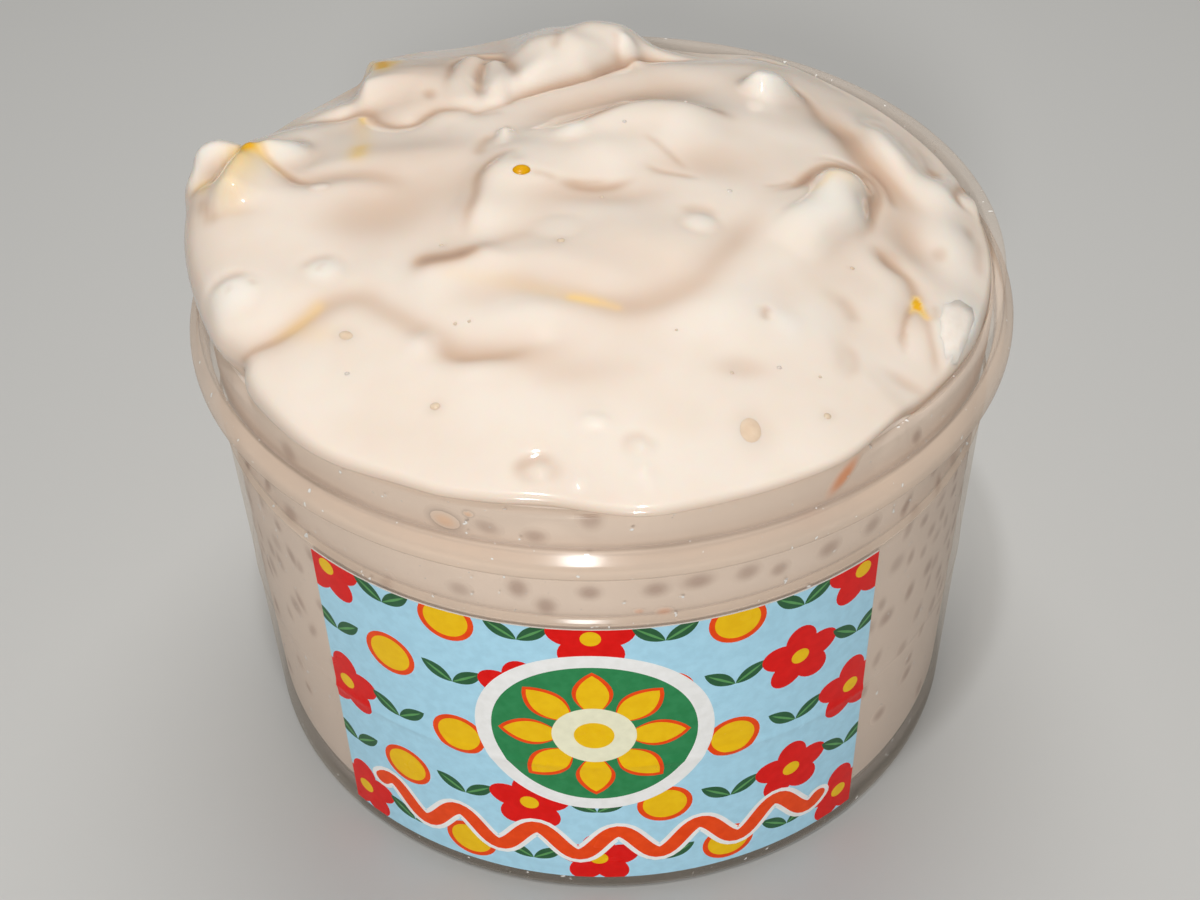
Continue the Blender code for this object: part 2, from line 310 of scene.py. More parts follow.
def shoulder_of(bearings):
    """(radius, height, angle on the roll) of the line where the dome passes into the rolled edge, at the
    place where both have the same slope."""
    radius, foot, shoulder, roll, _ = heap_edge(bearings)
    middle = foot + WAIST * (shoulder - foot)
    slope = 2 * (HEAP_CROWN - shoulder) / (radius - roll)
    angle = np.arctan2(shoulder - middle, slope * roll)
    return radius - roll * (1 - np.cos(angle)), middle + (shoulder - middle) * np.sin(angle), angle


def dome_edge(bearings, share):
    """(radius, height) that the dome aims at, this share of the way out: an even edge near the crown, which
    passes into the real one."""
    round_about = np.arange(0, 360, 2)
    real, grid = shoulder_of(bearings)[:2], shoulder_of(round_about)[:2]
    aims = []
    for at, values in zip(real, grid, strict=True):
        calm = np.mean([np.roll(values, turn) for turn in range(-CALM, CALM + 1)], axis=0)
        calm = np.interp(bearings, round_about, calm, period=360)
        aims.append(calm + (at - calm) * share**EDGE_FADE)
    return aims


def heap_rings():
    """Rings of base points from the crown out over the shoulder and down the rolled edge, with the
    direction that relief moves them in, their places on the unrolled plan, and the share of relief that
    they take."""
    rings = []
    for k in range(HEAP_RINGS):
        count = max(6 * k, 1)
        bearings = np.arange(count) * 360 / count
        share = k / HEAP_RINGS
        edge_radius, edge_height = dome_edge(bearings, share)
        r = edge_radius * share
        z = edge_height + (HEAP_CROWN - edge_height) * (1 - share * share)
        rings.append((bearings, r, z, np.zeros(count), np.ones(count), r, np.ones(count)))
    bearings = np.arange(6 * HEAP_RINGS) * 60 / HEAP_RINGS
    edge_radius, _, start = shoulder_of(bearings)
    radius, foot, shoulder, roll, hang = heap_edge(bearings)
    middle = foot + WAIST * (shoulder - foot)
    plan, last = edge_radius, None
    for step in range(ROLL_STEPS + 1):
        turn = start + (ROLL_END - start) * step / ROLL_STEPS
        over = turn > 0
        inward, rise = np.where(over, roll, hang), np.where(over, shoulder - middle, middle - foot)
        r = radius - inward * (1 - np.cos(turn))
        z = middle + rise * np.sin(turn)
        out, up = np.cos(turn) / np.maximum(inward, LEAST_ROUND), np.sin(turn) / np.maximum(rise, LEAST_ROUND)
        size = np.hypot(out, up)
        if last is not None:
            plan = plan + np.hypot(r - last[0], z - last[1])
        last = (r, z)
        weight = np.clip((np.degrees(turn) - RELIEF_END) / RELIEF_FADE, 0, 1)
        rings.append((bearings, r, z, out / size, up / size, plan, weight))
    return rings


def smooth_path(stops, per_span=6):
    """A smooth line through given stops."""
    p = np.array(stops, float)
    if len(p) < 3:
        return p
    p = np.vstack([2 * p[0] - p[1], p, 2 * p[-1] - p[-2]])
    t = (np.arange(per_span) / per_span)[:, None]
    spans = [
        0.5 * (2 * b + (c - a) * t + (2 * a - 5 * b + 4 * c - d) * t**2 + (3 * b - a - 3 * c + d) * t**3)
        for a, b, c, d in zip(p, p[1:], p[2:], p[3:], strict=False)
    ]
    return np.vstack([*spans, p[-2:-1]])


def along(path, x, y):
    """(distance off, share along, side) of each place from a line. side is +1 on the line's left and -1
    on its right, and turns smoothly from one to the other round its ends."""
    steps = np.diff(path, axis=0)
    lengths = np.hypot(steps[:, 0], steps[:, 1])
    starts = np.concatenate([[0], np.cumsum(lengths)])
    off, share, side = np.full(x.shape, np.inf), np.zeros(x.shape), np.ones(x.shape)
    for (ax, ay), (sx, sy), length, start in zip(path[:-1], steps, lengths, starts[:-1], strict=True):
        ux, uy = sx / length, sy / length
        run = np.clip((x - ax) * ux + (y - ay) * uy, 0, length)
        d = np.hypot(x - ax - run * ux, y - ay - run * uy)
        near = d < off
        off[near] = d[near]
        share[near] = (start + run[near]) / starts[-1]
        side[near] = ((ux * (y - ay) - uy * (x - ax)) / np.maximum(d, 1e-6))[near]
    return off, share, np.clip(side, -1, 1)


def ripple(x, y, size, seed, waves=9):
    """Smooth random waves of about this size, mostly between -1 and 1."""
    rng = np.random.default_rng(seed)
    total = np.zeros(x.shape)
    for _ in range(waves):
        angle, phase = rng.uniform(0, 2 * np.pi, 2)
        length = size * rng.uniform(0.7, 1.5)
        total += np.sin((x * np.cos(angle) + y * np.sin(angle)) * 2 * np.pi / length + phase)
    return total / math.sqrt(waves * 2)


def eased_ends(share, ends, run=0.3):
    """A weight that is 1 along the middle of a line and eases to the two ends' values over a run."""
    body = smoothstep(np.clip(share / run, 0, 1)) * smoothstep(np.clip((1 - share) / run, 0, 1))
    least = ends[0] + (ends[1] - ends[0]) * share
    return least + (1 - least) * body


def bell(value):
    return np.exp(-(value**2))


class Heap:
    """Relief and tints of the slime on a square grid over the unrolled plan, added up feature by feature.
    Stops are the places that a feature's line runs through, ends are its shares of strength at the line's
    two ends, turn is the degrees that an oval is turned by, and tan, yellow and white are tints: tan is
    painted shade in hollows and creases and also the tint round pellets, and white is paleness and painted
    light on humps."""

    def __init__(self):
        line = np.arange(-GRID_REACH, GRID_REACH, GRID_STEP)
        self.x, self.y = (part.ravel() for part in np.meshgrid(line, line))
        self.count = len(line)
        self.height, self.tan, self.yellow, self.white = (np.zeros(self.x.shape) for _ in range(4))
        drift_x, drift_y = (ripple(self.x, self.y, WANDER_SIZE, seed) for seed in (11, 12))
        self.x, self.y = self.x + WANDER * drift_x, self.y + WANDER * drift_y

    def blurred(self, field, radius):
        """A field blurred by a bell curve of this radius."""
        waves = np.fft.fftfreq(self.count, GRID_STEP)
        keep = np.exp(-2 * (np.pi * radius) ** 2 * (waves[:, None] ** 2 + waves[None, :] ** 2))
        return np.real(np.fft.ifft2(np.fft.fft2(field.reshape(self.count, -1)) * keep)).ravel()

    def soften(self):
        """Rounds off the broad forms before the crisp ones are added."""
        self.height, self.tan = self.blurred(self.height, SOFTNESS), self.blurred(self.tan, SOFTNESS)

    def settle(self):
        """Lets the relief slump a little, as thick slime does, and paints shade into its hollows and light
        onto its humps.
        """
        self.height = self.blurred(self.height, SLUMP)
        for radius, gain in HOLLOW_SHADE:
            hollow = self.blurred(self.height, radius) - self.height
            self.tan += gain * np.clip(hollow, 0, None)
            self.white += HUMP_LIGHT * gain * np.clip(-hollow, 0, None)

    def at(self, field, x, y):
        """A field's values at places on the plan."""
        field = field.reshape(self.count, -1)
        column, row = (x + GRID_REACH) / GRID_STEP, (y + GRID_REACH) / GRID_STEP
        i, j = np.floor(row).astype(int), np.floor(column).astype(int)
        v, u = row - i, column - j
        low = field[i, j] * (1 - u) + field[i, j + 1] * u
        high = field[i + 1, j] * (1 - u) + field[i + 1, j + 1] * u
        return low * (1 - v) + high * v

    def near(self, stops, reach):
        low, high = np.min(stops, axis=0) - reach, np.max(stops, axis=0) + reach
        return np.flatnonzero(
            (self.x > low[0]) & (self.x < high[0]) & (self.y > low[1]) & (self.y < high[1])
        )

    def line(self, stops, reach):
        """Which places are near a smooth line through stops, and how they lie to it."""
        path = smooth_path(stops)
        here = self.near(path, reach)
        return here, *along(path, self.x[here], self.y[here])

    def oval(self, x, y, wide, long, turn=0, reach=2.6):
        """Which places are near an oval, and the square of their distance from its middle in radii."""
        here = self.near([(x, y)], reach * max(wide, long))
        u, v = placed(self.x[here] - x, self.y[here] - y, -turn)
        return here, (u / wide) ** 2 + (v / long) ** 2

    def fold(self, stops, rise, left, right, ends=(0, 0), tan=0):
        """A fold whose crest runs along stops and falls away over left and right on its two sides. tan
        paints shade on the side that falls steeper."""
        here, off, share, side = self.line(stops, FOLD_REACH * max(left, right))
        width = right + (left - right) * (1 + side) / 2
        taper = eased_ends(share, ends)
        soft = np.sqrt(off**2 + CREST) - math.sqrt(CREST)
        self.height[here] += rise * np.exp(-((soft / width) ** FOLD_POWER)) * taper
        steep = (1 + side) / 2 if left < right else (1 - side) / 2
        middle, half_width = (share_of * min(left, right) for share_of in FOLD_SHADE)
        self.tan[here] += tan * steep * bell((off - middle) / half_width) * taper

    def seam(self, stops, left, right, tan=0.5, width=0.6, ends=(0, 0), round_off=0.25):
        """A crease where two bulges meet, with painted shade along it. left and right are (height, rise
        width, fade width) of the bulges on the two sides of stops, and round_off is how blunt its bottom is."""
        here, off, share, side = self.line(stops, SEAM_REACH * max(left[2], right[2]))
        soft = np.sqrt(off**2 + round_off**2) - round_off
        taper = eased_ends(share, ends)
        for part, (height, rise, fade) in (((1 + side) / 2, left), ((1 - side) / 2, right)):
            sink = np.exp(-soft / rise)
            bulge = height * ((1 - sink) * bell(soft / fade) - SEAM_DIG * sink)
            self.height[here] += part * bulge * taper
        self.tan[here] += tan * bell(off / width) * taper

    def lump(self, x, y, wide, long, rise, turn=0, sharp=1, tan=0, white=0):
        """A rise, or a hollow if rise is below 0, whose flanks get steeper with sharp, and tan as painted
        shade.
        """
        here, q = self.oval(x, y, wide, long, turn)
        self.height[here] += rise * np.exp(-(q**sharp))
        self.tan[here] += tan * np.exp(-(q**TINT_POWER))
        self.white[here] += white * np.exp(-((WHITE_INSET * q) ** TINT_POWER))

    def finger(self, stops, width, rise, ends=(1, 0.2), power=0.7):
        """A round-topped finger with a crisp foot."""
        here, off, share, _ = self.line(stops, width)
        level = ends[0] + (ends[1] - ends[0]) * share
        self.height[here] += rise * level * np.clip(1 - (off / width) ** 2, 0, None) ** power

    def bead(self, x, y, wide, long, rise, white, tan=0):
        """A pellet just under the skin: a small dome in a slight dip, with a ring of shade round it."""
        here, q = self.oval(x, y, wide, long, reach=BEAD_REACH)
        self.height[here] += rise * (np.exp(-(q**1.5)) - BEAD_DIP * bell(q - 2))
        self.tan[here] += tan * bell((np.sqrt(q) - BEAD_RING[0]) / BEAD_RING[1])
        self.white[here] += white * bell(q)

    def pit(self, x, y, wide, long, depth, tan):
        """A dimple over a sunken pellet, with a rounded edge."""
        here, q = self.oval(x, y, wide, long)
        self.height[here] -= depth * bell(q)
        self.tan[here] += tan * np.exp(-(q**3))

    def mark(self, stops, width, tan, dig=0, ends=(0, 0)):
        """A thin line of painted shade where two folds touch, with a slight groove."""
        here, off, share, _ = self.line(stops, MARK_REACH * width)
        line = bell(off / width) * eased_ends(share, ends)
        self.tan[here] += tan * line
        self.height[here] -= dig * line

    def stain(self, stops, width, amount, ends=(1, 1)):
        """Yellow showing through the skin along a line."""
        here, off, share, _ = self.line(stops, STAIN_REACH * width)
        self.yellow[here] += amount * (ends[0] + (ends[1] - ends[0]) * share) * bell(off / width)


# The heap's features. Each row holds what the method of Heap for its kind takes, in the same order. What a
# row leaves off stays at the method's usual value. The soft features come first and are blurred.
SOFT_LUMPS = (
    # the back and the back left
    (-4.5, 31.5, 4.4, 7, 2.7, 0, 1.4),
    (2.2, 34.5, 3.8, 5, 3, 0, 1.6),
    (-19.5, 21.5, 4.6, 5.6, 1, 0, 1.3, 0.3),
    (-17, 28, 8, 6, 0.9, 0, 1, 0.3),
    (-21, 17, 6, 3, 0, 0, 1, 0.25),
    (-28.5, 20, 3, 3, 0.7),
    (-33, 15, 3.4, 3.6, 0.9),
    (14, 27, 7, 6, 0.9),
    # the middle
    (3, 17.6, 11, 3.4, -0.9, 26, 1, 0.4),
    (5.5, 11.4, 6.5, 3.2, 0.9, 10, 1.3),
    (9.5, 8, 3.2, 5, 0.8, -38, 1.2, 0, 0.2),
    (1.6, 4.2, 4, 2.8, 0.8, 8, 1, 0, 0.2),
    (0, -3, 6.5, 1.8, -0.5, 0, 1, 0.35),
    (12, 3, 5, 3, -0.4, 0, 1, 0.3),
    (-7, 1.5, 3, 3.8, 0.7),
    (-21, -3, 8, 5, -0.7, 20, 1, 0.45),
    (-18, 6, 6, 4, 0.5, 0, 1, 0.4),
    (-30, -3, 5, 4, 0.3),
    # the front
    (1, -12.4, 9, 4.6, 1.1, -3, 1, 0.12),
    (0, -15, 8, 3.4, 0, 0, 1, 0.15),
    (-6.5, -21, 7.5, 2.6, 0.8, -4),
    (-33, -15.5, 5, 5, 0.7),
    (-24, -27, 12, 6, 0.4),
    (14, -21, 5, 4, 0.5, 0, 1, 0, 0.3),
    (4, -34, 16, 6, 0.3),
    (-3, -27.4, 5.5, 1.7, -0.25, 0, 1, 0.25),
    # the right
    (17.5, 13, 7, 6, 0.3),
    (31, 10.6, 2.8, 6, 1.6, 8, 1.3, 0, 0.4),
    (26.5, 14, 1.8, 6, -0.6, 20, 1, 0.5),
    (36.6, 4.4, 2.6, 3.4, 1.2, 0, 1, 0, 0.4),
    (36, -4, 2.8, 5.4, 0.9, 0, 1, 0, 0.3),
    (29.4, 5.2, 1.7, 5.2, -0.6, 24, 1, 0.5),
    (31.2, -6, 1.8, 5.5, -0.5, 8, 1, 0.35),
    (21, -5, 3.6, 7, 0.5, -34, 1, 0, 0.3),
    (34.4, -17.4, 2.6, 5.6, 1.2, -24, 1.3, 0, 0.9),
)
SOFT_FOLDS = (
    (((-13.5, -13.4), (-8, -14.2), (-3, -15.6), (2, -17), (6, -16.4)), 0.7, 2.6, 1.8),
    (((-9, 4.6), (-10.2, 1.5), (-11, -2), (-12.2, -6), (-13, -10)), 1.2, 4.4, 1.3, (0.5, 0.3), 0.5),
    (((-19, -14.4), (-15.5, -14), (-12.5, -13.2), (-9, -11.4)), 1.1, 1.5, 3.6, (0, 0), 0.7),
)
SOFT_SEAMS = (
    (((-13.5, -15.2), (-10, -16.3), (-6.5, -17.6), (-3, -19), (1, -20.2), (5, -19.4), (9, -16.8),
     (12, -12.6), (15, -7), (19, -1.5)), (0.5, 1.8, 5), (0.5, 1.6, 4.5), 0.5, 1.7),
    (((-37.5, -22.4), (-33, -22), (-30, -21), (-28, -19.2), (-25.5, -17.2), (-22.6, -17.2), (-20.3, -18.8),
     (-18, -20.9), (-15.6, -23), (-13.5, -24.8), (-10, -25.4), (-5.5, -25), (-2, -24), (1.5, -21.8)),
     (0.8, 1.4, 4.5), (0.5, 1.5, 4.5), 0.6, 1.3, (0.5, 0)),
    (((-33.6, 5), (-31.8, 2.8), (-30, 1.6), (-27, 2.4), (-23, 2.4), (-18, 0)), (0.6, 1.2, 4), (0.6, 1.2, 4),
     0.6, 1.2),
    (((25.2, 17.6), (26.7, 13.6), (28.1, 9.4), (29.7, 5.6), (31.5, 2.8), (32.9, -0.8)), (0.9, 1.2, 4),
     (0.3, 1, 3), 0.6, 1),
    (((26.6, -6.5), (28.4, -10), (29.9, -12.2), (30.4, -15), (29.3, -17.8), (28.4, -20.2), (28.1, -22.6)),
     (0.7, 1, 3), (0.4, 1, 2.5), 0.5, 0.9),
    (((30.4, -15), (31, -17.8), (31.2, -21), (31.1, -24.6)), (0.35, 0.9, 2.4), (0.5, 0.9, 2.4), 0.45, 0.8),
)
# The crisp ones. The back lobes lie behind the wavy crease across the back, with a curled loop among them.
# The flap stands over the lip at the back left and has a yellow tip. The middle has a bump with a steep back
# in painted shade. The left ridge runs from it to the front left, with a short, deep crease at its foot,
# also in painted shade. The right has a finger with thin folds curled round it, a ball behind it, and
# creases that fork at a yellow tip. The left rim has pale lumps and a yellow peak.
SEAMS = (
    (((-12.5, 14.8), (-10, 15.6), (-8, 17.4), (-5, 19.4), (-2, 21.3), (0, 22.7), (2, 24.8), (4.5, 27.2),
     (6.5, 28.5), (9, 29.3), (14, 31)), (2, 1.3, 5), (0.15, 0.8, 3), 0.9, 0.4, (0.3, 0), 0.4),
    (((-35, 19), (-31, 18), (-28, 17.4), (-26.2, 18.2), (-24.9, 17.8), (-23.4, 15.4), (-21.6, 13.6),
     (-19.6, 13.4), (-18.2, 15), (-16.6, 16), (-14, 15.4), (-12.4, 14.2), (-10.6, 14.2)), (0.7, 1.2, 6),
     (0.3, 0.9, 3), 0.7, 0.5, (0.3, 0.3), 0.5),
)
LUMPS = (
    # the back lobes
    (-6.6, 25.5, 2.7, 5, 0.9, 6, 1.4),
    (-1.4, 28.5, 2.9, 5, 1, -4, 1.4),
    (4, 28.6, 1.3, 2.2, 0.9, 20, 1.4, 0, 0.6),
    (-17.8, 18.8, 0.8, 1, -0.2, 0, 1, 0.45),
    (-13, 30.8, 2, 1.2, 0.2, 0, 1, 0.3),
    # the middle
    (-2.6, 8, 1.9, 1.7, 0.5, 0, 1.3, 0, 0.6),
    # the front
    (-16.4, -23.6, 1.7, 1.5, 0.5, 0, 1.3, 0, 0.6),
    (-10.4, -27.2, 3.2, 1.5, 0.35, 0, 1.2),
    (12.6, -27.2, 2.6, 1.3, -0.15, 0, 1, 0.25),
    (22.2, -24.8, 1, 1.7, -0.15, 0, 1, 0.12),
    (20.2, -20.4, 2.2, 3.6, 0.25, 0, 1, 0, 0.5),
    (28.2, -26, 2.2, 0.8, -0.15, -20, 1, 0.25),
    (17, -21.6, 1.6, 1.8, 0.15, 0, 1, 0, 0.5),
    # the right
    (22.8, -4.2, 1.9, 4.6, 0, -34, 1, 0, 0.5),
    (21.8, 1.6, 2.3, 1.3, -0.3, 48, 1, 0.35),
    (28.7, -9.2, 1.4, 2, -0.2, 15, 1, 0.35),
    (19.3, 21.2, 2.6, 2.8, 2.3, 0, 1.75, 0, 0.7),
    (19.2, 18.8, 2.2, 2.6, 0.35, 0, 1, 0, 0.4),
    (35.8, 8.2, 1.1, 1.7, -0.35, -15, 1, 0.5),
    (37.9, 8.4, 0.8, 1.8, 0.35, -10, 1, 0, 0.3),
    (39.4, 4.6, 0.9, 1.4, 0.4),
    (34.2, -6.9, 0.7, 1.2, -0.1, -30, 1, 0.45),
    (38.2, -2, 0.6, 1.3, -0.12, -10, 1, 0.4),
    # the left rim
    (-40, 9, 2.6, 3, 2.5, 0, 1.5, 0, 0.9),
    (-42.8, 5, 2.2, 3, 1.5, 0, 1.3, 0, 0.8),
    (-32.6, 7.8, 2.1, 2.7, 1.6, -35, 1.4, 0, 0.9),
    (-40, 1.2, 1.6, 1.9, 0.4, 0, 1.3),
    # over pellets
    (-6, -37.9, 1.3, 0.9, 0.3),
    (2.8, -36.2, 1, 0.8, 0.2),
    # small wet spots along the front that catch the light
    (2.9, -36.4, 0.8, 0.8, 0.32),
    (3.1, -38.6, 0.7, 0.7, 0.28),
    (3.8, -40, 0.5, 0.5, 0.2),
    (-5.7, -38, 0.9, 0.9, 0.36),
    (-2.6, -39, 0.7, 0.7, 0.28),
    (-1.6, -33.6, 0.9, 0.9, 0.36),
    (-0.4, -33.8, 0.7, 0.7, 0.28),
)
# Lines of painted shade where folds touch, and arcs of painted shade round pellets.
MARKS = (
    # the back lobes
    (((-4, 33), (-3.8, 29), (-4.4, 24)), 0.5, 0.35, 0.25),
    (((2.3, 31.5), (2.6, 28.6), (2.2, 25.6)), 0.5, 0.35, 0.12),
    (((-16.2, 19), (-16.2, 23.5), (-15.2, 28), (-13, 29.8), (-10.8, 29), (-9.4, 25), (-8.3, 20.5),
     (-7.7, 17.8)), 0.5, 0.55, 0.2),
    (((-12.6, 16.4), (-12.7, 20), (-12.5, 24), (-12.1, 29)), 0.45, 0.5, 0.2),
    # the flap
    (((-26, 31.5), (-26, 28), (-25.9, 24), (-25.4, 20)), 0.5, 0.6, 0.1),
    # the middle
    (((-5.4, 9.9), (-2.4, 10.2), (0, 10.9), (2, 12.2), (4, 13.4), (6, 13.9), (8.4, 13.6)), 0.75, 1.5, 0.1),
    (((6.5, 13.8), (9.6, 13.4), (12.6, 12.4), (15.6, 11.4)), 0.9, 0.6),
    (((4.6, 7.4), (6.4, 5.4), (8, 3.4), (9.2, 1.2)), 0.4, 0.35, 0.1),
    (((-5, -0.4), (-3.4, -1.6), (-0.8, -2), (2, -1.4), (4.4, 0)), 0.6, 0.5, 0.2),
    (((-4, -1), (-1.4, -1.2), (1.6, -0.7)), 0.35, 0.3, 0.1),
    (((4.4, 2.6), (5.8, 1), (8.2, 0.2), (10.6, -0.6)), 0.5, 0.35, 0.12),
    (((-7, -0.2), (-5.6, -0.4), (-4.2, -1.2)), 0.5, 0.4, 0.1),
    # the left ridge
    (((-10.5, 10), (-11.8, 7), (-12.4, 4)), 0.7, 0.4, 0.15),
    (((-8, 2.9), (-9.1, 4.3), (-10.6, 3.2), (-11.6, 0.4), (-12.1, -2.6), (-12.9, -7), (-13.2, -10.4)), 0.65,
     0.55, 0.2, (0.3, 0)),
    (((-18.9, -13.2), (-16.6, -13.3), (-14, -12.8), (-11.4, -11.4)), 1.25, 1.2, 0.25),
    (((-12, -11.8), (-9, -10.6), (-5.5, -9.6)), 0.9, 0.3, 0, (1, 0)),
    # the front
    (((-37.5, -22.4), (-33.4, -22.1), (-30.4, -21.2), (-28.2, -19.4), (-26.6, -17.4)), 0.45, 0.5, 0.15,
     (1, 0.2)),
    (((-15.4, -23.8), (-13, -25.4), (-9, -25.6), (-5.5, -25)), 0.6, 0.2, 0.1),
    (((21.8, -16.1), (23, -16.8), (23.7, -18.2), (23.6, -19.8)), 0.85, 0.3, 0.15, (0.4, 0.2)),
    (((22.6, -22.9), (23.3, -24.2), (23.2, -25.6), (22.4, -26.7)), 0.6, 0.26, 0.06, (0.3, 0.3)),
    (((16, -19.9), (15.1, -20.5), (14.9, -22)), 0.4, 0.5, 0.2),
    # the right
    (((16.4, -2.2), (18.2, -1.2), (19.9, 0), (21.4, 1.8), (22.8, 4), (24.4, 5.3), (26.2, 5.2), (27.4, 4),
     (28, 1.8), (28, -1), (27.3, -4), (25.8, -6.8)), 0.5, 0.9, 0.35, (0, 0.1)),
    (((22, 5), (24.4, 6.4), (27.2, 5.6), (28.8, 2.6), (28.6, -1.4), (27.4, -4.6)), 0.35, 0.55, 0.25),
    (((27.6, 7.4), (29.8, 3.6), (30.2, -1)), 0.5, 0.35, 0.15),
    (((16.6, -0.8), (18.6, 0), (20.2, 1.4)), 0.35, 0.35, 0.1),
    (((27.6, -8), (28.6, -10.4), (29.9, -12), (30.4, -14.4)), 0.55, 0.4, 0.15, (0.3, 1)),
    (((30, -16.2), (29.3, -17.8), (28.5, -19.8), (28, -21.2), (28.1, -22.4)), 0.32, 0.6, 0.15, (1, 0.3)),
    (((28.9, -19.8), (28.5, -21.2), (28.4, -22.3)), 0.25, 0.3),
    (((30.7, -16.2), (31, -17.8), (31.1, -20), (31.2, -22.4), (31, -24.6)), 0.45, 0.4, 0.1, (1, 0)),
    (((31.9, -15.2), (31.9, -17), (31.7, -18.4)), 0.35, 0.4),
    (((16.6, 20.2), (16.7, 22.6), (18, 24.4), (20.2, 24.7), (22, 23.2)), 0.5, 0.35, 0.1),
    (((21.6, 26.5), (22.8, 23), (24, 19), (25.2, 15)), 0.7, 0.35, 0.15),
    (((17, 33.6), (19.6, 32.6), (23, 31.2)), 0.4, 0.5, 0.2),
    (((39.4, 8.6), (38.5, 6.6), (37.7, 5), (37.9, 3.4), (38.9, 2.6)), 0.45, 0.9, 0.35, (0.5, 0.2)),
    (((39.4, -1.6), (38.6, -5), (37.8, -9)), 0.6, 0.3, 0.1),
    # the left rim
    (((-35.4, 7.8), (-34, 5.4), (-32.4, 3.8), (-30.6, 1.9), (-28.8, 1.6)), 0.45, 0.6, 0.25, (1, 0)),
    (((-36.9, 7.6), (-38, 5.2), (-38.7, 2.8), (-38.2, 0.6)), 0.45, 0.8, 0.35, (1, 0)),
    (((-42.6, 3.8), (-41.6, 2.2), (-40, 3), (-38.8, 3.6)), 0.4, 0.6, 0.2),
    (((-40.6, 1.2), (-40, -1.6), (-38.8, -3.6), (-37.6, -4.4)), 0.7, 0.4, 0.1),
    # over pellets, arcs of painted shade
    (((-28.3, -13), (-28.1, -11.4), (-26.8, -10.6), (-25.6, -10.9)), 0.5, 0.22, 0.05),
    (((-27, -13.6), (-26.9, -12.2), (-26.2, -11.6)), 0.3, 0.25),
    (((-37.6, -15), (-36.4, -13.4), (-34.4, -12.8), (-33.4, -13)), 0.8, 0.25, 0.08),
    (((-33.6, -14), (-32.9, -15.2)), 0.4, 0.3, 0.05),
    (((-35.6, -14.6), (-35.2, -16)), 0.35, 0.25, 0.05),
    (((8, -6.2), (9.8, -5.4), (12, -6.4)), 0.7, 0.3, 0.1),
    (((-8, -38.2), (-7.6, -37.2), (-6, -36.5), (-4.2, -36.9)), 0.5, 0.32, 0.05),
    (((1.2, -36.4), (2, -35.2), (3.8, -35)), 0.45, 0.14),
)
FINGERS = (
    (((-14.3, 17.8), (-14.4, 23), (-13.7, 28)), 1.6, 0.8, (0.3, 1), 1),
    (((-10.7, 17), (-10.7, 21), (-11.1, 26)), 1.5, 0.85, (0.4, 1), 1),
    (((-9.5, 9.4), (-9.7, 7)), 0.8, 0.8, (1, 0.2), 0.9),
    (((25.2, 0.8), (24.2, -2.2), (22, -6), (18, -11.4)), 3.1, 1.6, (0.9, 0), 0.8),
)
STAINS = (
    # the back lobes
    (((-25, 15), (-25, 10), (-24.4, 5)), 1.1, 0.4, (1, 0.5)),
    (((-25.3, 17), (-24.9, 15.6)), 0.4, 1.4, (1, 0.4)),
    (((-24.6, 8.2), (-24.4, 6.2)), 1.1, 0.7),
    # the flap
    (((-24.4, 29.6), (-24.1, 26.6)), 0.9, 2.2, (1, 0.9)),
    (((-22.8, 28), (-23.4, 24.6)), 1.1, 1.2, (0.9, 0.5)),
    (((-25.3, 29), (-25.2, 24)), 0.3, 0.8, (1, 0.2)),
    # the front
    (((-14, -15.4), (-8, -17.2), (-4, -18.8), (-1, -19.8)), 0.9, 0.24, (0.5, 1)),
    (((-2.8, -19.3), (-1, -19.7), (1.4, -20.4)), 0.55, 0.75, (1, 0.7)),
    (((-30.4, -21), (-28.4, -19.4), (-27, -17.6)), 0.7, 0.55, (0.3, 1)),
    (((-28, -20.2), (-26, -21)), 1.4, 0.2),
    # the right
    (((25.4, 3.6), (25.6, 0.8)), 1.5, 0.26),
    (((21.4, -1.8), (23, -0.6), (24.2, 0.8)), 0.5, 0.35),
    (((30.4, -14.5), (30.35, -15.6)), 0.32, 2.2, (0.8, 1)),
    (((30.35, -15.3), (29.8, -17)), 0.28, 1.7, (1, 0.4)),
    (((30.4, -15.3), (31.1, -17.6)), 0.3, 1.9, (1, 0.6)),
    (((30.4, -15.4), (30.4, -16.8)), 0.45, 0.5, (1, 0.3)),
    # the left rim
    (((-36, 6.2), (-36.4, 3), (-36.6, -1.4)), 1.9, 1.15, (1, 0.4)),
    (((-36, 7.6), (-36.2, 5.6)), 0.8, 1.6, (1, 0.5)),
    (((-36.8, 6.4), (-37.8, 3.6), (-38.2, 1.4)), 0.35, 0.9, (1, 0.4)),
    (((-35.2, 6.2), (-33.6, 4.4), (-32.2, 3.2)), 0.6, 0.55, (1, 0.4)),
    (((-40.2, 2.6), (-39.6, 1.4)), 0.9, 0.7),
)
FOLDS = (
    (((-24.6, 34), (-24.7, 31), (-24.9, 27), (-25, 22), (-24.8, 17.5)), 2.3, 5.5, 0.9, (0.6, 0)),
    (((-5.4, 9.2), (-3.6, 9.6), (-1, 10.2), (1.4, 11.4), (3.8, 12.8), (6, 13.4), (8.8, 13), (11.6, 11.8),
     (15, 10.4)), 0.9, 0.9, 4.5, (0.3, 0)),
    (((26.1, 0.6), (25.3, -2.6), (23.2, -6.3), (18.8, -11.5)), 0.6, 1.3, 4.6, (0.9, 0.2)),
    (((-36, 7), (-36.3, 4), (-36.8, 0.6), (-37, -3.5)), 2.4, 2.4, 1.6, (1, 0)),
)
BEADS = (
    (-26.6, -12.6, 1.5, 1.7, 0.22, 0.7),
    (-35, -15.6, 2, 2.2, 0.3, 0.7),
    (9.8, -8, 1.4, 1.4, 0.25, 0.6),
    (-4, -9, 1.8, 1.6, 0.1, 0.3),
    (-28.4, 0.4, 1, 0.8, 0.15, 0.5, 0.2),
)
PITS = (
    (-6, -37.7, 2.1, 1.4, 0.45, 0.1),
    (2.8, -36, 1.7, 1.3, 0.3, 0.05),
)
HALO = 1.2  # how far a top pellet's shade reaches, as a share of its size
HALO_TAN = 0.22


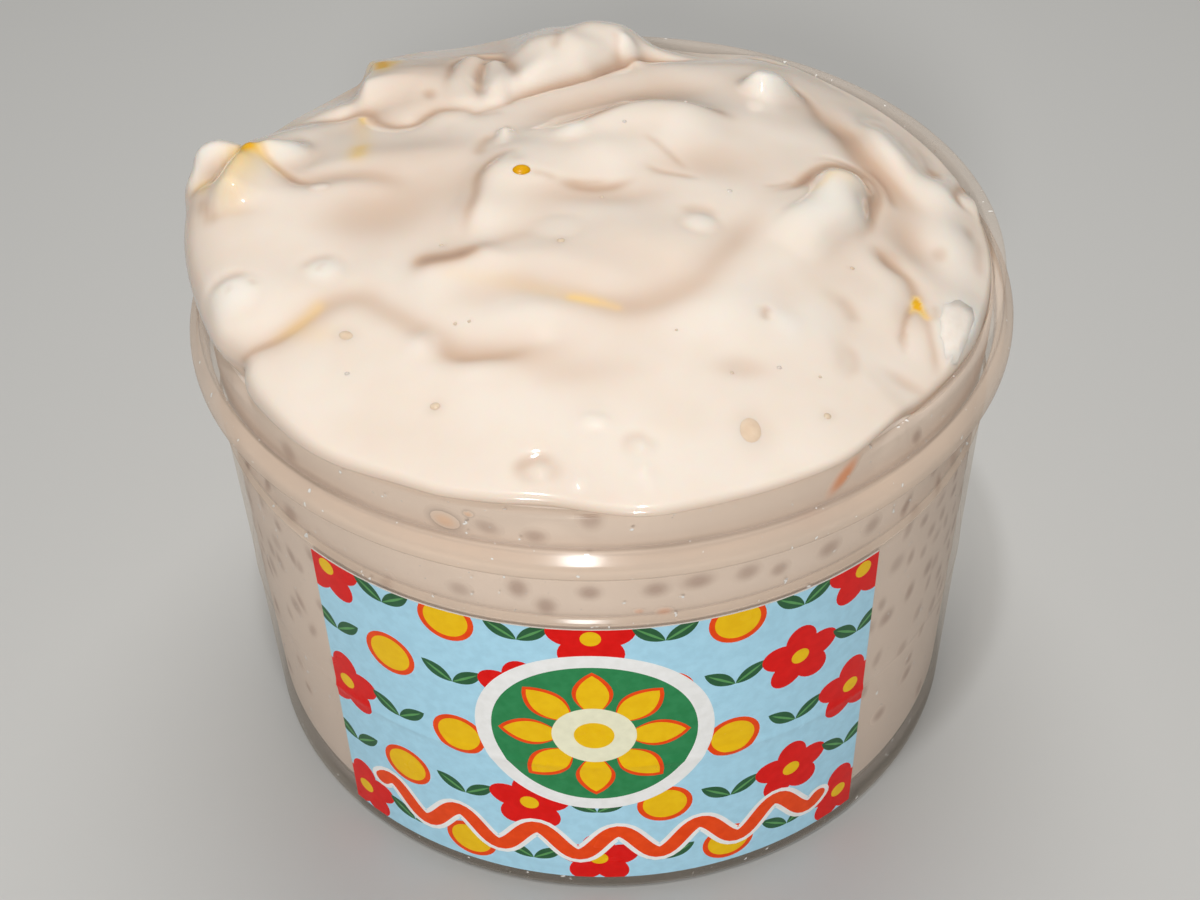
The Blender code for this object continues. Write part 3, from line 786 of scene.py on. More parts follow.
def shape_heap():
    """All the relief and tints of the heap."""
    heap = Heap()
    heap.height += UNEVEN * ripple(heap.x, heap.y, UNEVEN_SIZE, 3)
    soft = ((heap.lump, SOFT_LUMPS), (heap.fold, SOFT_FOLDS), (heap.seam, SOFT_SEAMS))
    crisp = ((heap.seam, SEAMS), (heap.lump, LUMPS), (heap.mark, MARKS), (heap.finger, FINGERS),
             (heap.stain, STAINS), (heap.fold, FOLDS), (heap.bead, BEADS), (heap.pit, PITS))
    for kinds in (soft, crisp):
        for add, rows in kinds:
            for row in rows:
                add(*row)
        if kinds is soft:
            heap.soften()
    for x, y, wide, long, turn in TOP_PELLETS:
        heap.lump(x, y, HALO * wide, HALO * long, 0, turn, tan=HALO_TAN)
    heap.settle()
    return heap


# ---------------------------------------------------------------- slime mesh

# painted shade on the underside of the rolled edge
UNDERSIDE_SHADE = 0.8
INTO_WALL = 0.25  # how far the slime reaches into the wall, so that no air gap shows
CLEARANCE = 0.02  # how far the heap stays inside the skirt's reach
TUCK = 0.1  # how far inside the bore the heap's underside ends, and how far above the lip at most
SIDE_DROP = 0.3  # how far below that its side starts at least
BOTTOM = FLOOR_TOP + 0.3
# The slime's side from the lip down, as (height, radius).
SIDE = (
    (LIP_TOP - 0.4, BORE_RADIUS + INTO_WALL),
    (LIP_FOOT - 2.3, BORE_RADIUS + INTO_WALL),
    (NECK_FOOT, NECK_FOOT_RADIUS - WALL + INTO_WALL),
    (BEAD_FOOT - 0.5, SHOULDER_RADIUS - WALL + INTO_WALL),
    (FLOOR_TOP + 2.2, BASE_RADIUS - WALL + INTO_WALL),
    (BOTTOM, BASE_RADIUS - WALL - 0.8),
)


def dome_faces(starts):
    """Triangles between the heap's rings, each of which has 6 points more than the last."""
    faces = []
    for k in range(HEAP_RINGS):
        inner, outer = starts[k], starts[k + 1]
        few, many = max(6 * k, 1), 6 * (k + 1)
        for sector in range(6):
            for j in range(k + 1):
                a = inner + (sector * k + j) % few
                b = outer + (sector * (k + 1) + j) % many
                c = outer + (sector * (k + 1) + j + 1) % many
                faces.append((a, b, c))
                if j < k:
                    faces.append((a, c, inner + (sector * k + j + 1) % few))
    return faces


def make_slime(materials):
    """The slime's top, rolled edge and side. materials are for the top and for what the wall covers."""
    rings = heap_rings()
    starts = [0, *np.cumsum([len(ring[0]) for ring in rings]).tolist()]
    bearing, r, z, out, up, plan, weight = (np.concatenate(column) for column in zip(*rings, strict=True))
    angle = np.radians(bearing)
    heap = shape_heap()
    x, y = plan * np.sin(angle), -plan * np.cos(angle)
    height = heap.at(heap.height, x, y) * weight
    r = np.minimum(r + out * height, SKIRT_RADIUS - CLEARANCE)
    z = np.minimum(LIP_TOP + z + up * height, heap_top)

    columns = 6 * HEAP_RINGS
    ring_angles = np.radians(np.arange(columns) * 360 / columns)
    foot = heap_edge(np.degrees(ring_angles))[1]
    rim = np.minimum(LIP_TOP + foot, LIP_TOP + TUCK)
    sides = [round_axis(BORE_RADIUS - TUCK, ring_angles, rim)]
    for level, radius in SIDE:
        level = np.minimum(level, rim - SIDE_DROP) if level > LIP_FOOT else level
        sides.append(round_axis(radius, ring_angles, level))
    points = np.vstack([round_axis(r, angle, z), *sides, [[0, 0, BOTTOM]]])
    ring_starts = starts[HEAP_RINGS:] + [starts[-1] + columns * k for k in range(1, len(sides))]
    faces = dome_faces(starts) + ring_faces(ring_starts, columns, last_tip=len(points) - 1, flip=True)
    covered = np.zeros(len(faces), int)
    covered[-columns * (len(SIDE) + 1):] = 1
    piece = new_object("slime_body", points, faces, materials, covered)

    tints = np.zeros((len(points), 4))  # at half strength, so that deep creases can pass 1
    for channel, field in enumerate((heap.tan, heap.yellow, heap.white)):
        tints[: len(x), channel] = heap.at(field, x, y) * weight / 2
    # painted shade under the rolled edge
    tints[: len(x), 0] += UNDERSIDE_SHADE * (1 - weight) / 2
    tints[:, 3] = 1
    paint(piece, "tints", np.clip(tints, 0, 1))
    return piece


# ---------------------------------------------------------------- pellets and bits in the slime

CAP_LIFT = 0.06
CAP_BELOW_TOP = 0.05  # how far under the top of the slime's side a cap ends at least
CAP_FADE = 0.8  # share of a cap, from its rim inward, over which its colour comes in
CAP_AROUND = 14
CAP_RINGS = (0.25, 0.5, 0.75, 1.0)
CAP_BLUR = 1.9  # how far a pellet's shade spreads in the cloudy wall, times its size
SHARP_BLUR = 1.3  # the same for one that touches the wall
SIDE_SPACING = 3.3
SCATTER = 0.35  # how far a scattered pellet strays from its place on the grid, in spacings
FRONT_REACH = 44  # bearing up to which the neck's and the lip's pellets are listed one by one
LOWEST_ROW = 7
# Ranges of a scattered pellet's half width, half height and strength, and how far it turns at most.
HALF_WIDTHS = (0.45, 0.9)
HALF_HEIGHTS = (0.55, 1.0)
STRENGTHS = (0.5, 1.0)
MOST_TURN = 30
LIKELY = 0.8  # how likely a place on the grid is to hold a pellet, and the shares of that at foot and neck
FOOT_SHARE = 0.06
NECK_SHARE = 0.6
THIN_FOOT = 10  # height from which pellets get more frequent, and how many millimetres that takes
THIN_RISE = 18
# Pellets seen through the front of the neck and the lip: (bearing, height, half width, half height, turn,
# strength).
FRONT_PELLETS = (
    (-12.1, 46.6, 0.75, 1.0, 0, 0.9),
    (-8.5, 44.4, 0.75, 0.9, 0, 0.9),
    (-20.3, 44.9, 0.8, 0.7, 0, 0.6),
    (-15.4, 54.3, 0.9, 0.6, -20, 0.7),
    (-2.7, 46.6, 0.8, 0.75, 0, 0.9),
    (5.9, 46.6, 0.9, 0.75, 0, 0.9),
    (11.5, 46.9, 1.1, 0.75, 0, 0.9),
    (18.3, 46.6, 0.9, 0.8, 0, 0.8),
    (23.0, 45.6, 0.7, 0.7, 0, 0.8),
    (30.8, 45.6, 0.9, 0.8, 0, 0.8),
    (38.5, 45.4, 0.8, 0.8, 0, 0.7),
    (-9.3, 53.9, 0.8, 0.6, 0, 0.8),
    (-2.2, 56.2, 0.8, 0.9, 0, 0.8),
)
# Pellets against the lip, with a ring of shade, and orange and yellow bits behind the wall, in the same way.
LIP_PELLETS = (
    (-21.0, 54.1, 1.7, 1.3, -10, 1.0),
    (-17.7, 55.5, 0.6, 0.5, 0, 0.8),
)
LIP_PELLET_INSIDE = (0.72, 0.66)  # shares of the width and height that the ring of shade leaves
ORANGE_BITS = (
    (31.7, 54.9, 0.9, 2.3, -42, 0.95),
    (27.4, 50.7, 2.4, 1.3, -20, 0.6),
    (7.0, 43.4, 0.8, 0.4, 0, 0.5),
    (3.7, 43.7, 0.5, 0.3, 0, 0.4),
)


def side_radius(height):
    heights, radii = np.array(SIDE)[::-1].T
    return np.interp(height, heights, radii)


def wall_pellets(rng):
    """Pellets scattered behind the wall, fewer towards the foot, on a loose grid."""
    spots = []
    for row, height in enumerate(np.arange(LOWEST_ROW, LIP_FOOT + 1.5, SIDE_SPACING)):
        count = round(2 * math.pi * side_radius(height) / SIDE_SPACING)
        for k in range(count):
            column = k + 0.5 * (row % 2) + rng.uniform(-SCATTER, SCATTER)
            bearing = (column * 360 / count + 180) % 360 - 180
            at = height + rng.uniform(-SCATTER, SCATTER) * SIDE_SPACING
            wide, tall = rng.uniform(*HALF_WIDTHS), rng.uniform(*HALF_HEIGHTS)
            turn, strength, luck = rng.uniform(-MOST_TURN, MOST_TURN), rng.uniform(*STRENGTHS), rng.random()
            front = abs(bearing) < FRONT_REACH and at > NECK_FOOT - 1.5
            behind_skirt = SKIRT_FOOT - 1.2 < at < LIP_FOOT
            likely = LIKELY * min(1, max(FOOT_SHARE, (at - THIN_FOOT) / THIN_RISE))
            likely *= NECK_SHARE if at > NECK_FOOT else 1
            if luck < likely and not front and not behind_skirt:
                spots.append((bearing, at, wide, tall, turn, strength))
    return spots


def caps(name, spots, material, blur=SHARP_BLUR, lift=CAP_LIFT):
    """Shallow lens-shaped caps on the slime's side, with an attribute that fades from middle to rim."""
    around = np.arange(CAP_AROUND) * 2 * np.pi / CAP_AROUND
    f = np.concatenate([[0], np.repeat(CAP_RINGS, CAP_AROUND)])
    turns = np.concatenate([[0], np.tile(around, len(CAP_RINGS))])
    starts = [1 + ring * CAP_AROUND for ring in range(len(CAP_RINGS))]
    pattern = ring_faces(starts, CAP_AROUND, first_tip=0, flip=True)
    fade = smoothstep(np.clip((1 - f) / CAP_FADE, 0, 1))
    points, faces, fades = [], [], []
    for bearing, height, wide, tall, turn, strength in spots:
        u, v = blur * wide * f * np.cos(turns), blur * tall * f * np.sin(turns)
        across, z = placed(u, v, turn, 0, height)
        z = np.minimum(z, SIDE[0][0] - CAP_BELOW_TOP)
        r = side_radius(z) + lift / 4 + lift * (1 - f * f)
        first = len(points) * len(f)
        points.append(round_axis(r, math.radians(bearing) + across / r, z))
        faces.extend(tuple(first + i for i in face) for face in pattern)
        fades.append(strength * fade)
    piece = new_object(name, np.vstack(points), faces, [material])
    colours = np.repeat(np.concatenate(fades)[:, None], 4, axis=1)
    colours[:, 3] = 1
    paint(piece, "fade", colours)
    return piece


# Pellets that lie flush with the top: (x, y, half width, half length, turn).
TOP_PELLETS = (
    (12.8, -34.2, 1.55, 2.1, 0),
    (-23.8, -21.8, 1.15, 0.8, -30),
    (-15.2, -30.8, 0.75, 0.62, 0),
    (-3.7, -11.8, 0.6, 0.7, 20),
    (19.9, -32, 0.55, 0.55, 0),
    (-13.6, -21.7, 0.22, 0.22, 0),
    (-12.3, -21.6, 0.18, 0.18, 0),
    (-15.3, -10.6, 0.28, 0.2, 0),
    (24.5, -12, 0.32, 0.28, 0),
    (11.6, -27.8, 0.2, 0.2, 0),
    (19.7, -27.4, 0.18, 0.18, 0),
    (6.8, -23.2, 0.15, 0.15, 0),
    (0.4, -3.6, 0.2, 0.2, 0),
)
PALE_PELLETS = (
    (13.2, -2.3, 0.45, 0.4, 0),
    (16, -26.8, 0.35, 0.3, 0),
    (-23.4, -26.4, 0.35, 0.3, 0),
    (3.0, 8.6, 0.3, 0.3, 0),
    (9.6, 12.8, 0.25, 0.2, 0),
)
YELLOW_BITS = ((-7.6, -0.2, 0.95, 0.75, 10),)
PELLET_ABOVE = 0.1
PELLET_THICK = 0.45
PELLET_AROUND = 20
PELLET_ROWS = 10


def skin_below(tree, x, y):
    """(place, normal) where the skin lies under a place on the plan."""
    return tree.ray_cast(Vector((x, y, 2 * heap_top)), Vector((0, 0, -1)))[:2]


def flush_pellets(name, spots, tree, material, above=PELLET_ABOVE):
    """Flattened balls sunk into the heap until only their tops stand out."""
    points, faces = [], []
    rise = np.pi / 2 * np.arange(PELLET_ROWS) / PELLET_ROWS
    around = np.arange(PELLET_AROUND) * 2 * np.pi / PELLET_AROUND
    for x, y, wide, long, turn in spots:
        place, normal = skin_below(tree, x, y)
        along_y = normal.cross(Vector((*placed(1, 0, turn), 0))).normalized()
        axes = np.array([along_y.cross(normal), along_y, normal])
        thick = min(PELLET_THICK, wide)
        starts = [len(points) + row * PELLET_AROUND for row in range(PELLET_ROWS)]
        for sine, cosine in zip(np.sin(rise), np.cos(rise), strict=True):
            ring = np.column_stack([wide * cosine * np.cos(around), long * cosine * np.sin(around),
                                    np.full(PELLET_AROUND, thick * (sine - 1) + above)])
            points.extend(np.array(place) + ring @ axes)
        points.append(np.array(place) + above * axes[2])
        points.append(np.array(place) + (above - 2 * thick) * axes[2])
        faces += ring_faces(starts, PELLET_AROUND, len(points) - 1, len(points) - 2)
    return new_object(name, points, faces, [material])


# A crumb pressed into the heap by the right rim: corners from its middle, and how far each stands out of the
# skin.
CHUNK_CENTRE = (33.9, -18.4)
CHUNK_CORNERS = (
    (-1.9, -4.8, -0.1),
    (-0.5, -3.9, 0.1),
    (0.8, -1.4, 0.25),
    (2.0, 1.8, 0.3),
    (2.1, 3.3, 0.25),
    (0.9, 4.1, 0.1),
    (-1.0, 3.4, -0.1),
    (-2.1, 0.6, -0.12),
    (-2.5, -2.2, -0.12),
)
CHUNK_TOP = 0.22
CHUNK_DEPTH = 1.4
CHUNK_FALL = 1.2  # how far below its middle the lowest corner lies at most
SHARP_CHUNK = 60
CHUNK_RINGS = ((0.9, -CHUNK_DEPTH), (1.03, -0.3), (1.0, 0), (0.55, CHUNK_TOP))  # (share of width, height)


def white_chunk(tree, material):
    """A crumb with flat sides. Its left edge dips under the skin and its right edge stands at the rim."""
    x, y = CHUNK_CENTRE
    middle = skin_below(tree, x, y)[0].z
    points = []
    for inset, level in CHUNK_RINGS:
        for u, v, rise in CHUNK_CORNERS:
            at = (x + u * inset, y + v * inset)
            skin = max(skin_below(tree, *at)[0].z, middle - CHUNK_FALL)
            points.append((*at, skin + (level if level == CHUNK_TOP else rise + level)))
    points.append((x, y, middle + CHUNK_TOP))
    n = len(CHUNK_CORNERS)
    starts = [n * k for k in range(len(CHUNK_RINGS))]
    faces = [tuple(range(n))[::-1]] + ring_faces(starts, n, last_tip=len(points) - 1)
    return new_object("white_chunk", points, faces, [material], sharp_angle=SHARP_CHUNK)


# ---------------------------------------------------------------- the label

LABEL_WIDTH = 60.0
LABEL_BEARING = -2.75
LABEL_THICKNESS = 0.12
LABEL_BEDDING = 0.04
LABEL_MESH = 1.5
LABEL_RIDGE_ROWS = (-0.8, -0.4, 0, 0.4, 0.8)  # extra rows of the mesh, from the middle of the tub's ridge
LABEL_RIDGE_WIDTH = 0.5  # half width of the tub's ridge as it shows through the label
SHARP_LABEL = 40
INKS = {
    "sky blue": (176, 224, 246),
    "red": (232, 8, 2),
    "yellow": (250, 198, 4),
    "orange": (246, 72, 6),
    "leaf green": (44, 96, 60),
    "field green": (44, 136, 80),
    "pale green": (92, 160, 92),
    "white": (248, 248, 246),
    "cream": (246, 244, 214),
}
PATTERN_ROWS = (3.5, 12.5, 21.5, 30.5, 38.8)
PATTERN_STEP = 14
PETAL_SIZE = (2.2, 1.75)
FLOWER_EYE = 1.0
SLICE_DISCS = (("orange", 2.9), ("yellow", 2.3))
LEAF_SIZE = (3.9, 1.7)
VEIN_SIZE = (3.4, 0.3)
LEAF_DROP = 0.8  # how far below a row its leaves grow from
BAND_MIDDLE = 6.2
BAND_SWING = 2.1
BAND_WAVE = 8.6
BAND_LENGTH = 50.0
BAND_WIDTH = 1.9
BAND_OUTLINE = 3.0
MEDALLION_MIDDLE = (0.0, 24.4)
MEDALLION_RADIUS = 12.0
MEDALLION_BORDER = 1.7
ROSETTE_ROOT = 3.2
ROSETTE_LEAVES = (("orange", 6.4, 4.0), ("yellow", 5.9, 3.2))
ROSETTE_DISCS = (("cream", 4.2), ("yellow", 2.0))


def disc(x, y, radius, steps=48):
    return petal(x, y, (radius, radius), 0, steps)


def petal(x, y, size, turn, steps=24):
    """Outline of a turned oval."""
    around = np.radians(np.linspace(0, 360, steps + 1))[:-1]
    return np.column_stack(placed(size[0] * np.cos(around), size[1] * np.sin(around), turn, x, y))


def leaf(root, length, width, turn):
    """Outline of a pointed leaf that grows from root towards turn."""
    along_leaf = np.linspace(0, 1, 13)
    half = width / 2 * np.sin(np.pi * along_leaf) ** 0.8
    u = np.concatenate([along_leaf, along_leaf[-2:0:-1]]) * length
    return np.column_stack(placed(u, np.concatenate([half, -half[-2:0:-1]]), turn, *root))


def wave_band(width):
    """Outline of a wavy band with round ends."""
    u = np.linspace(-BAND_LENGTH / 2, BAND_LENGTH / 2, 121)
    v = BAND_MIDDLE + BAND_SWING * np.sin(2 * np.pi * u / BAND_WAVE)
    slope = BAND_SWING * 2 * np.pi / BAND_WAVE * np.cos(2 * np.pi * u / BAND_WAVE)
    size = np.hypot(1, slope)
    across = np.column_stack([-slope / size, 1 / size]) * width / 2
    line = np.column_stack([u, v])
    outline = [line + across]
    for end, sign in ((-1, 1), (0, -1)):
        half_turn = np.radians(np.linspace(90, -90, 9))[1:-1]
        n, t = across[end] * sign, np.array([across[end][1], -across[end][0]]) * sign
        outline.append(line[end] + np.outer(np.sin(half_turn), n) + np.outer(np.cos(half_turn), t))
        if end == -1:
            outline.append((line - across)[::-1])
    return np.vstack(outline)


def label_shapes():
    """The printed shapes from the bottom layer up: (ink, outline in millimetres on the flat label)."""
    shapes = []
    for row, v in enumerate(PATTERN_ROWS):
        for column in range(-3, 4):
            u = PATTERN_STEP * (column + 0.5 * (row % 2))
            if (column + row) % 2 == 0:
                for lean in range(90, 450, 72):
                    shapes.append(("red", petal(*placed(PETAL_SIZE[0], 0, lean, u, v), PETAL_SIZE, lean)))
                shapes.append(("yellow", disc(u, v, FLOWER_EYE, 24)))
            else:
                shapes += [(ink, disc(u, v, radius, 32)) for ink, radius in SLICE_DISCS]
            for turn in (35, 145):
                root = (u + PATTERN_STEP / 2, v - LEAF_DROP)
                shapes.append(("leaf green", leaf(root, *LEAF_SIZE, turn)))
                shapes.append(("pale green", leaf(root, *VEIN_SIZE, turn)))
    shapes += [("white", wave_band(BAND_OUTLINE)), ("orange", wave_band(BAND_WIDTH))]
    x, y = MEDALLION_MIDDLE
    shapes.append(("white", disc(x, y, MEDALLION_RADIUS, 96)))
    shapes.append(("field green", disc(x, y, MEDALLION_RADIUS - MEDALLION_BORDER, 96)))
    for turn in range(0, 360, 45):
        root = placed(ROSETTE_ROOT, 0, turn, x, y)
        shapes += [(ink, leaf(root, length, width, turn)) for ink, length, width in ROSETTE_LEAVES]
    return shapes + [(ink, disc(x, y, radius)) for ink, radius in ROSETTE_DISCS]


def inside(outline, points):
    """Which points lie inside an outline."""
    found = np.zeros(len(points), bool)
    x, y = points[:, 0], points[:, 1]
    for (ax, ay), (bx, by) in zip(outline, np.roll(outline, -1, axis=0), strict=True):
        crosses = (ay > y) != (by > y)
        at = ax + (y - ay) * (bx - ax) / (by - ay if by != ay else 1)
        found ^= crosses & (x < at)
    return found


def flat_label(shapes):
    """Points and triangles of the flat label, with edges along its border and every shape's outline, and a
    mesh fine enough to bend over the wall and its ridge."""
    half, tall = LABEL_WIDTH / 2, label_high - label_low
    points, edges = [], []
    border = [(-half, 0), (half, 0), (half, tall), (-half, tall)]
    for outline in (border, *(outline for _, outline in shapes)):
        first, count = len(points), len(outline)
        points.extend(map(tuple, outline))
        edges.extend((first + k, first + (k + 1) % count) for k in range(count))
    rows = np.linspace(0, tall, round(tall / LABEL_MESH) + 1)
    rows = np.append(rows, RIDGE_HEIGHT - label_low + np.array(LABEL_RIDGE_ROWS))
    for u in np.linspace(-half, half, round(LABEL_WIDTH / LABEL_MESH) + 1):
        points.extend((u, v) for v in rows)
    flat, _, triangles, *_ = delaunay_2d_cdt([Vector(p) for p in points], edges, [], 0, 1e-5)
    flat, triangles = np.array([tuple(p) for p in flat]), np.array(triangles)
    middles = flat[triangles].mean(axis=1)
    kept = (abs(middles[:, 0]) < half) & (middles[:, 1] > 0) & (middles[:, 1] < tall)
    used, triangles = np.unique(triangles[kept], return_inverse=True)
    return flat[used], triangles.reshape(-1, 3)


def make_label(materials):
    shapes, names = label_shapes(), list(INKS)
    flat, triangles = flat_label(shapes)
    middles = flat[triangles].mean(axis=1)
    ink = np.zeros(len(triangles), int)
    for name, outline in shapes:
        ink[inside(outline, middles)] = names.index(name)

    height = label_low + flat[:, 1]
    radius = wall_radius(height)
    bearing = np.radians(LABEL_BEARING) + flat[:, 0] / radius
    ridge = RIDGE_STEP * bell((height - RIDGE_HEIGHT) / LABEL_RIDGE_WIDTH)
    front, back = radius + ridge + LABEL_THICKNESS, radius - LABEL_BEDDING
    solid = [round_axis(r, bearing, height) for r in (front, back)]
    count = len(flat)
    directed = {(t[k], t[(k + 1) % 3]) for t in triangles.tolist() for k in range(3)}
    rims = sorted((a, b) for a, b in directed if (b, a) not in directed)
    faces = [tuple(t) for t in triangles]
    faces += [tuple(t[::-1] + count) for t in triangles]
    faces += [(b, a, a + count, b + count) for a, b in rims]
    inks = np.concatenate([ink, np.full(len(triangles) + len(rims), names.index("white"))])
    return new_object("printed_label", np.vstack(solid), faces, materials, inks, SHARP_LABEL)


# ---------------------------------------------------------------- materials


def linear(colour):
    """Scene colour of an sRGB colour given as 0 to 255."""
    shares = (value / 255 for value in colour)
    return tuple(c / 12.92 if c <= 0.04045 else ((c + 0.055) / 1.055) ** 2.4 for c in shares)


class Nodes:
    """Short calls that add and join shader nodes. Colours are sRGB from 0 to 255."""

    def __init__(self, name):
        self.material = bpy.data.materials.new(name)
        self.material.use_nodes = True
        self.tree = self.material.node_tree
        self.shader = self.tree.nodes["Principled BSDF"]
        self.output = self.tree.nodes["Material Output"]

    def add(self, kind, **settings):
        node = self.tree.nodes.new(kind)
        for name, value in settings.items():
            setattr(node, name, value)
        return node

    def join(self, output, socket):
        self.tree.links.new(output, socket)

    def mix(self, factor, first, second):
        node = self.add("ShaderNodeMix", data_type="RGBA")
        for value, socket in ((factor, node.inputs[0]), (first, node.inputs[6]), (second, node.inputs[7])):
            if isinstance(value, bpy.types.NodeSocket):
                self.join(value, socket)
            elif isinstance(value, tuple):
                socket.default_value = (*linear(value), 1)
            else:
                socket.default_value = value
        return node.outputs[2]

    def noise(self, scale, detail=2):
        node = self.add("ShaderNodeTexNoise")
        node.inputs["Scale"].default_value = scale
        node.inputs["Detail"].default_value = detail
        self.join(self.add("ShaderNodeTexCoord").outputs["Object"], node.inputs["Vector"])
        return node.outputs["Fac"]

    def ramp(self, value, low, high, start=0.0, end=1.0):
        node = self.add("ShaderNodeMapRange")
        for name, number in (("From Min", low), ("From Max", high), ("To Min", start), ("To Max", end)):
            node.inputs[name].default_value = number
        self.join(value, node.inputs["Value"])
        return node.outputs["Result"]

    def layer(self, name):
        """The red, green and blue of an attribute that was painted on the piece."""
        parts = self.add("ShaderNodeSeparateColor")
        painted = self.add("ShaderNodeVertexColor", layer_name=name)
        self.join(painted.outputs["Color"], parts.inputs["Color"])
        return (parts.outputs[channel] for channel in ("Red", "Green", "Blue"))

    def mottle(self, first, second, scale, low, high, detail=2):
        """Two colours mixed by noise between low and high."""
        return self.mix(self.ramp(self.noise(scale, detail), low, high), first, second)

    def base(self, colour):
        self.join(colour, self.shader.inputs["Base Color"])

    def bump(self, height, distance, strength):
        node = self.add("ShaderNodeBump")
        node.inputs["Distance"].default_value = distance
        node.inputs["Strength"].default_value = strength
        self.join(height, node.inputs["Height"])
        self.join(node.outputs["Normal"], self.shader.inputs["Normal"])

    def set(self, **values):
        for name, value in values.items():
            self.shader.inputs[name.replace("_", " ")].default_value = value


def slime_material():
    n = Nodes("cream slime")
    tan, yellow, white = n.layer("tints")
    colour = n.mottle((246, 233, 220), (243, 228, 213), 120, 0.35, 0.65)
    # paler for pale lumps, and painted light on humps
    colour = n.mix(n.ramp(white, 0, 0.5), colour, (249, 241, 231))
    # painted shade in hollows, creases and the steep sides of folds, and the tint round pellets; deeper
    # painted shade in the darkest creases
    colour = n.mix(n.ramp(tan, 0, 0.5), colour, (216, 188, 165))
    colour = n.mix(n.ramp(tan, 0.5, 1, 0, 0.8), colour, (178, 140, 118))
    # yellow of bits under the skin
    colour = n.mix(n.ramp(yellow, 0, 0.5), colour, (251, 215, 150))
    n.base(n.mix(n.ramp(yellow, 0.5, 1), colour, (252, 188, 34)))
    n.set(Roughness=0.35, Specular_IOR_Level=0.3, Coat_Weight=1.0, Coat_Roughness=0.07, IOR=1.42)
    n.set(Subsurface_Weight=0.4, Subsurface_Radius=(1.0, 0.6, 0.4), Subsurface_Scale=0.0012)
    return n.material


def side_colour(n):
    """The slime's colour where it shows through the wall."""
    return n.mottle((251, 236, 223), (245, 229, 215), 70, 0.35, 0.65, 3)


def side_material():
    n = Nodes("slime behind the wall")
    n.base(side_colour(n))
    n.set(Roughness=0.5)
    return n.material


def pellet_material(name, colour, edge, gloss=0.12):
    """A jelly pellet or soft bit, a little uneven in colour."""
    n = Nodes(name)
    n.base(n.mottle(colour, edge, 900, 0.3, 0.7))
    n.set(Roughness=gloss, Subsurface_Weight=0.3, Subsurface_Radius=(1.0, 0.7, 0.5), Subsurface_Scale=0.001)
    return n.material


def cap_material(name, colour):
    """A spot of this colour that fades into the slime behind the wall."""
    n = Nodes(name)
    fade, _, _ = n.layer("fade")
    n.base(n.mix(fade, side_colour(n), colour))
    n.set(Roughness=0.5)
    return n.material


# Shares of the light that the tub's cloudy wall scatters.
HAZE = 0.26
BEAD_HAZE = 0.4
NECK_HAZE = 0.2
LINE_HAZE = 0.5
SKIRT_HAZE = 0.55
LIP_HAZE = 0.2
# The tub's colours: its wall, lip and warmer skirt, painted shade at its foot, and thin lines of painted
# shade at its steps.
PLAIN = (244, 230, 220)
PLAIN_LIP = (246, 232, 220)
WARM_SKIRT = (252, 230, 210)
SHADED_FOOT = (150, 142, 132)
STEP_SHADE = (178, 160, 146)
TUB_BANDS = (
    (0, SHADED_FOOT, HAZE),
    (3.2, SHADED_FOOT, HAZE),
    (4.6, PLAIN, HAZE),
    (BEAD_FOOT - 0.3, PLAIN, HAZE),
    (BEAD_FOOT - 0.1, STEP_SHADE, BEAD_HAZE),
    (BEAD_FOOT + 0.15, WARM_SKIRT, BEAD_HAZE),
    (NECK_FOOT - 0.15, WARM_SKIRT, BEAD_HAZE),
    (NECK_FOOT, STEP_SHADE, BEAD_HAZE),
    (NECK_FOOT + 0.3, PLAIN, NECK_HAZE),
    (SKIRT_FOOT - 0.4, PLAIN, NECK_HAZE),
    (SKIRT_FOOT - 0.05, STEP_SHADE, LINE_HAZE),
    (SKIRT_FOOT + 0.25, WARM_SKIRT, SKIRT_HAZE),
    (LIP_FOOT + 0.1, WARM_SKIRT, SKIRT_HAZE),
    (LIP_FOOT + 0.35, STEP_SHADE, LINE_HAZE),
    (LIP_FOOT + 0.6, PLAIN_LIP, LIP_HAZE),
    (LIP_TOP, PLAIN_LIP, LIP_HAZE),
)


def tub_material():
    """Hazy plastic in bands by height, with painted shade at the foot and at the steps, mottled, with small
    pale specks.
    """
    n = Nodes("hazy polypropylene")
    axes = n.add("ShaderNodeSeparateXYZ")
    n.join(n.add("ShaderNodeTexCoord").outputs["Object"], axes.inputs["Vector"])
    bands = n.add("ShaderNodeValToRGB")
    n.join(n.ramp(axes.outputs["Z"], 0, LIP_TOP * MM), bands.inputs["Fac"])
    elements = bands.color_ramp.elements
    for k, (height, colour, haze) in enumerate(TUB_BANDS):
        stop = elements[k] if k < 2 else elements.new(height / LIP_TOP)
        stop.position, stop.color = height / LIP_TOP, (*linear(colour), haze)
    mottled = n.mix(n.ramp(n.noise(110, 3), 0.3, 0.75, 0, 0.25), bands.outputs["Color"], (205, 196, 188))
    specks = n.ramp(n.noise(1300, 1), 0.73, 0.77)
    n.base(n.mix(specks, mottled, (238, 236, 232)))
    n.join(n.ramp(n.noise(250, 3), 0.3, 0.7, 0.12, 0.2), n.shader.inputs["Roughness"])
    n.set(IOR=1.45, Specular_IOR_Level=0.35)
    clear = n.add("ShaderNodeBsdfTransparent")
    clear.inputs["Color"].default_value = (*linear((250, 247, 243)), 1)
    haze = n.add("ShaderNodeMath", operation="MAXIMUM")
    mixed = n.add("ShaderNodeMixShader")
    for output, socket in (
        (bands.outputs["Alpha"], haze.inputs[0]),
        (specks, haze.inputs[1]),
        (haze.outputs[0], mixed.inputs[0]),
        (clear.outputs[0], mixed.inputs[1]),
        (n.shader.outputs[0], mixed.inputs[2]),
        (mixed.outputs[0], n.output.inputs["Surface"]),
    ):
        n.join(output, socket)
    return n.material


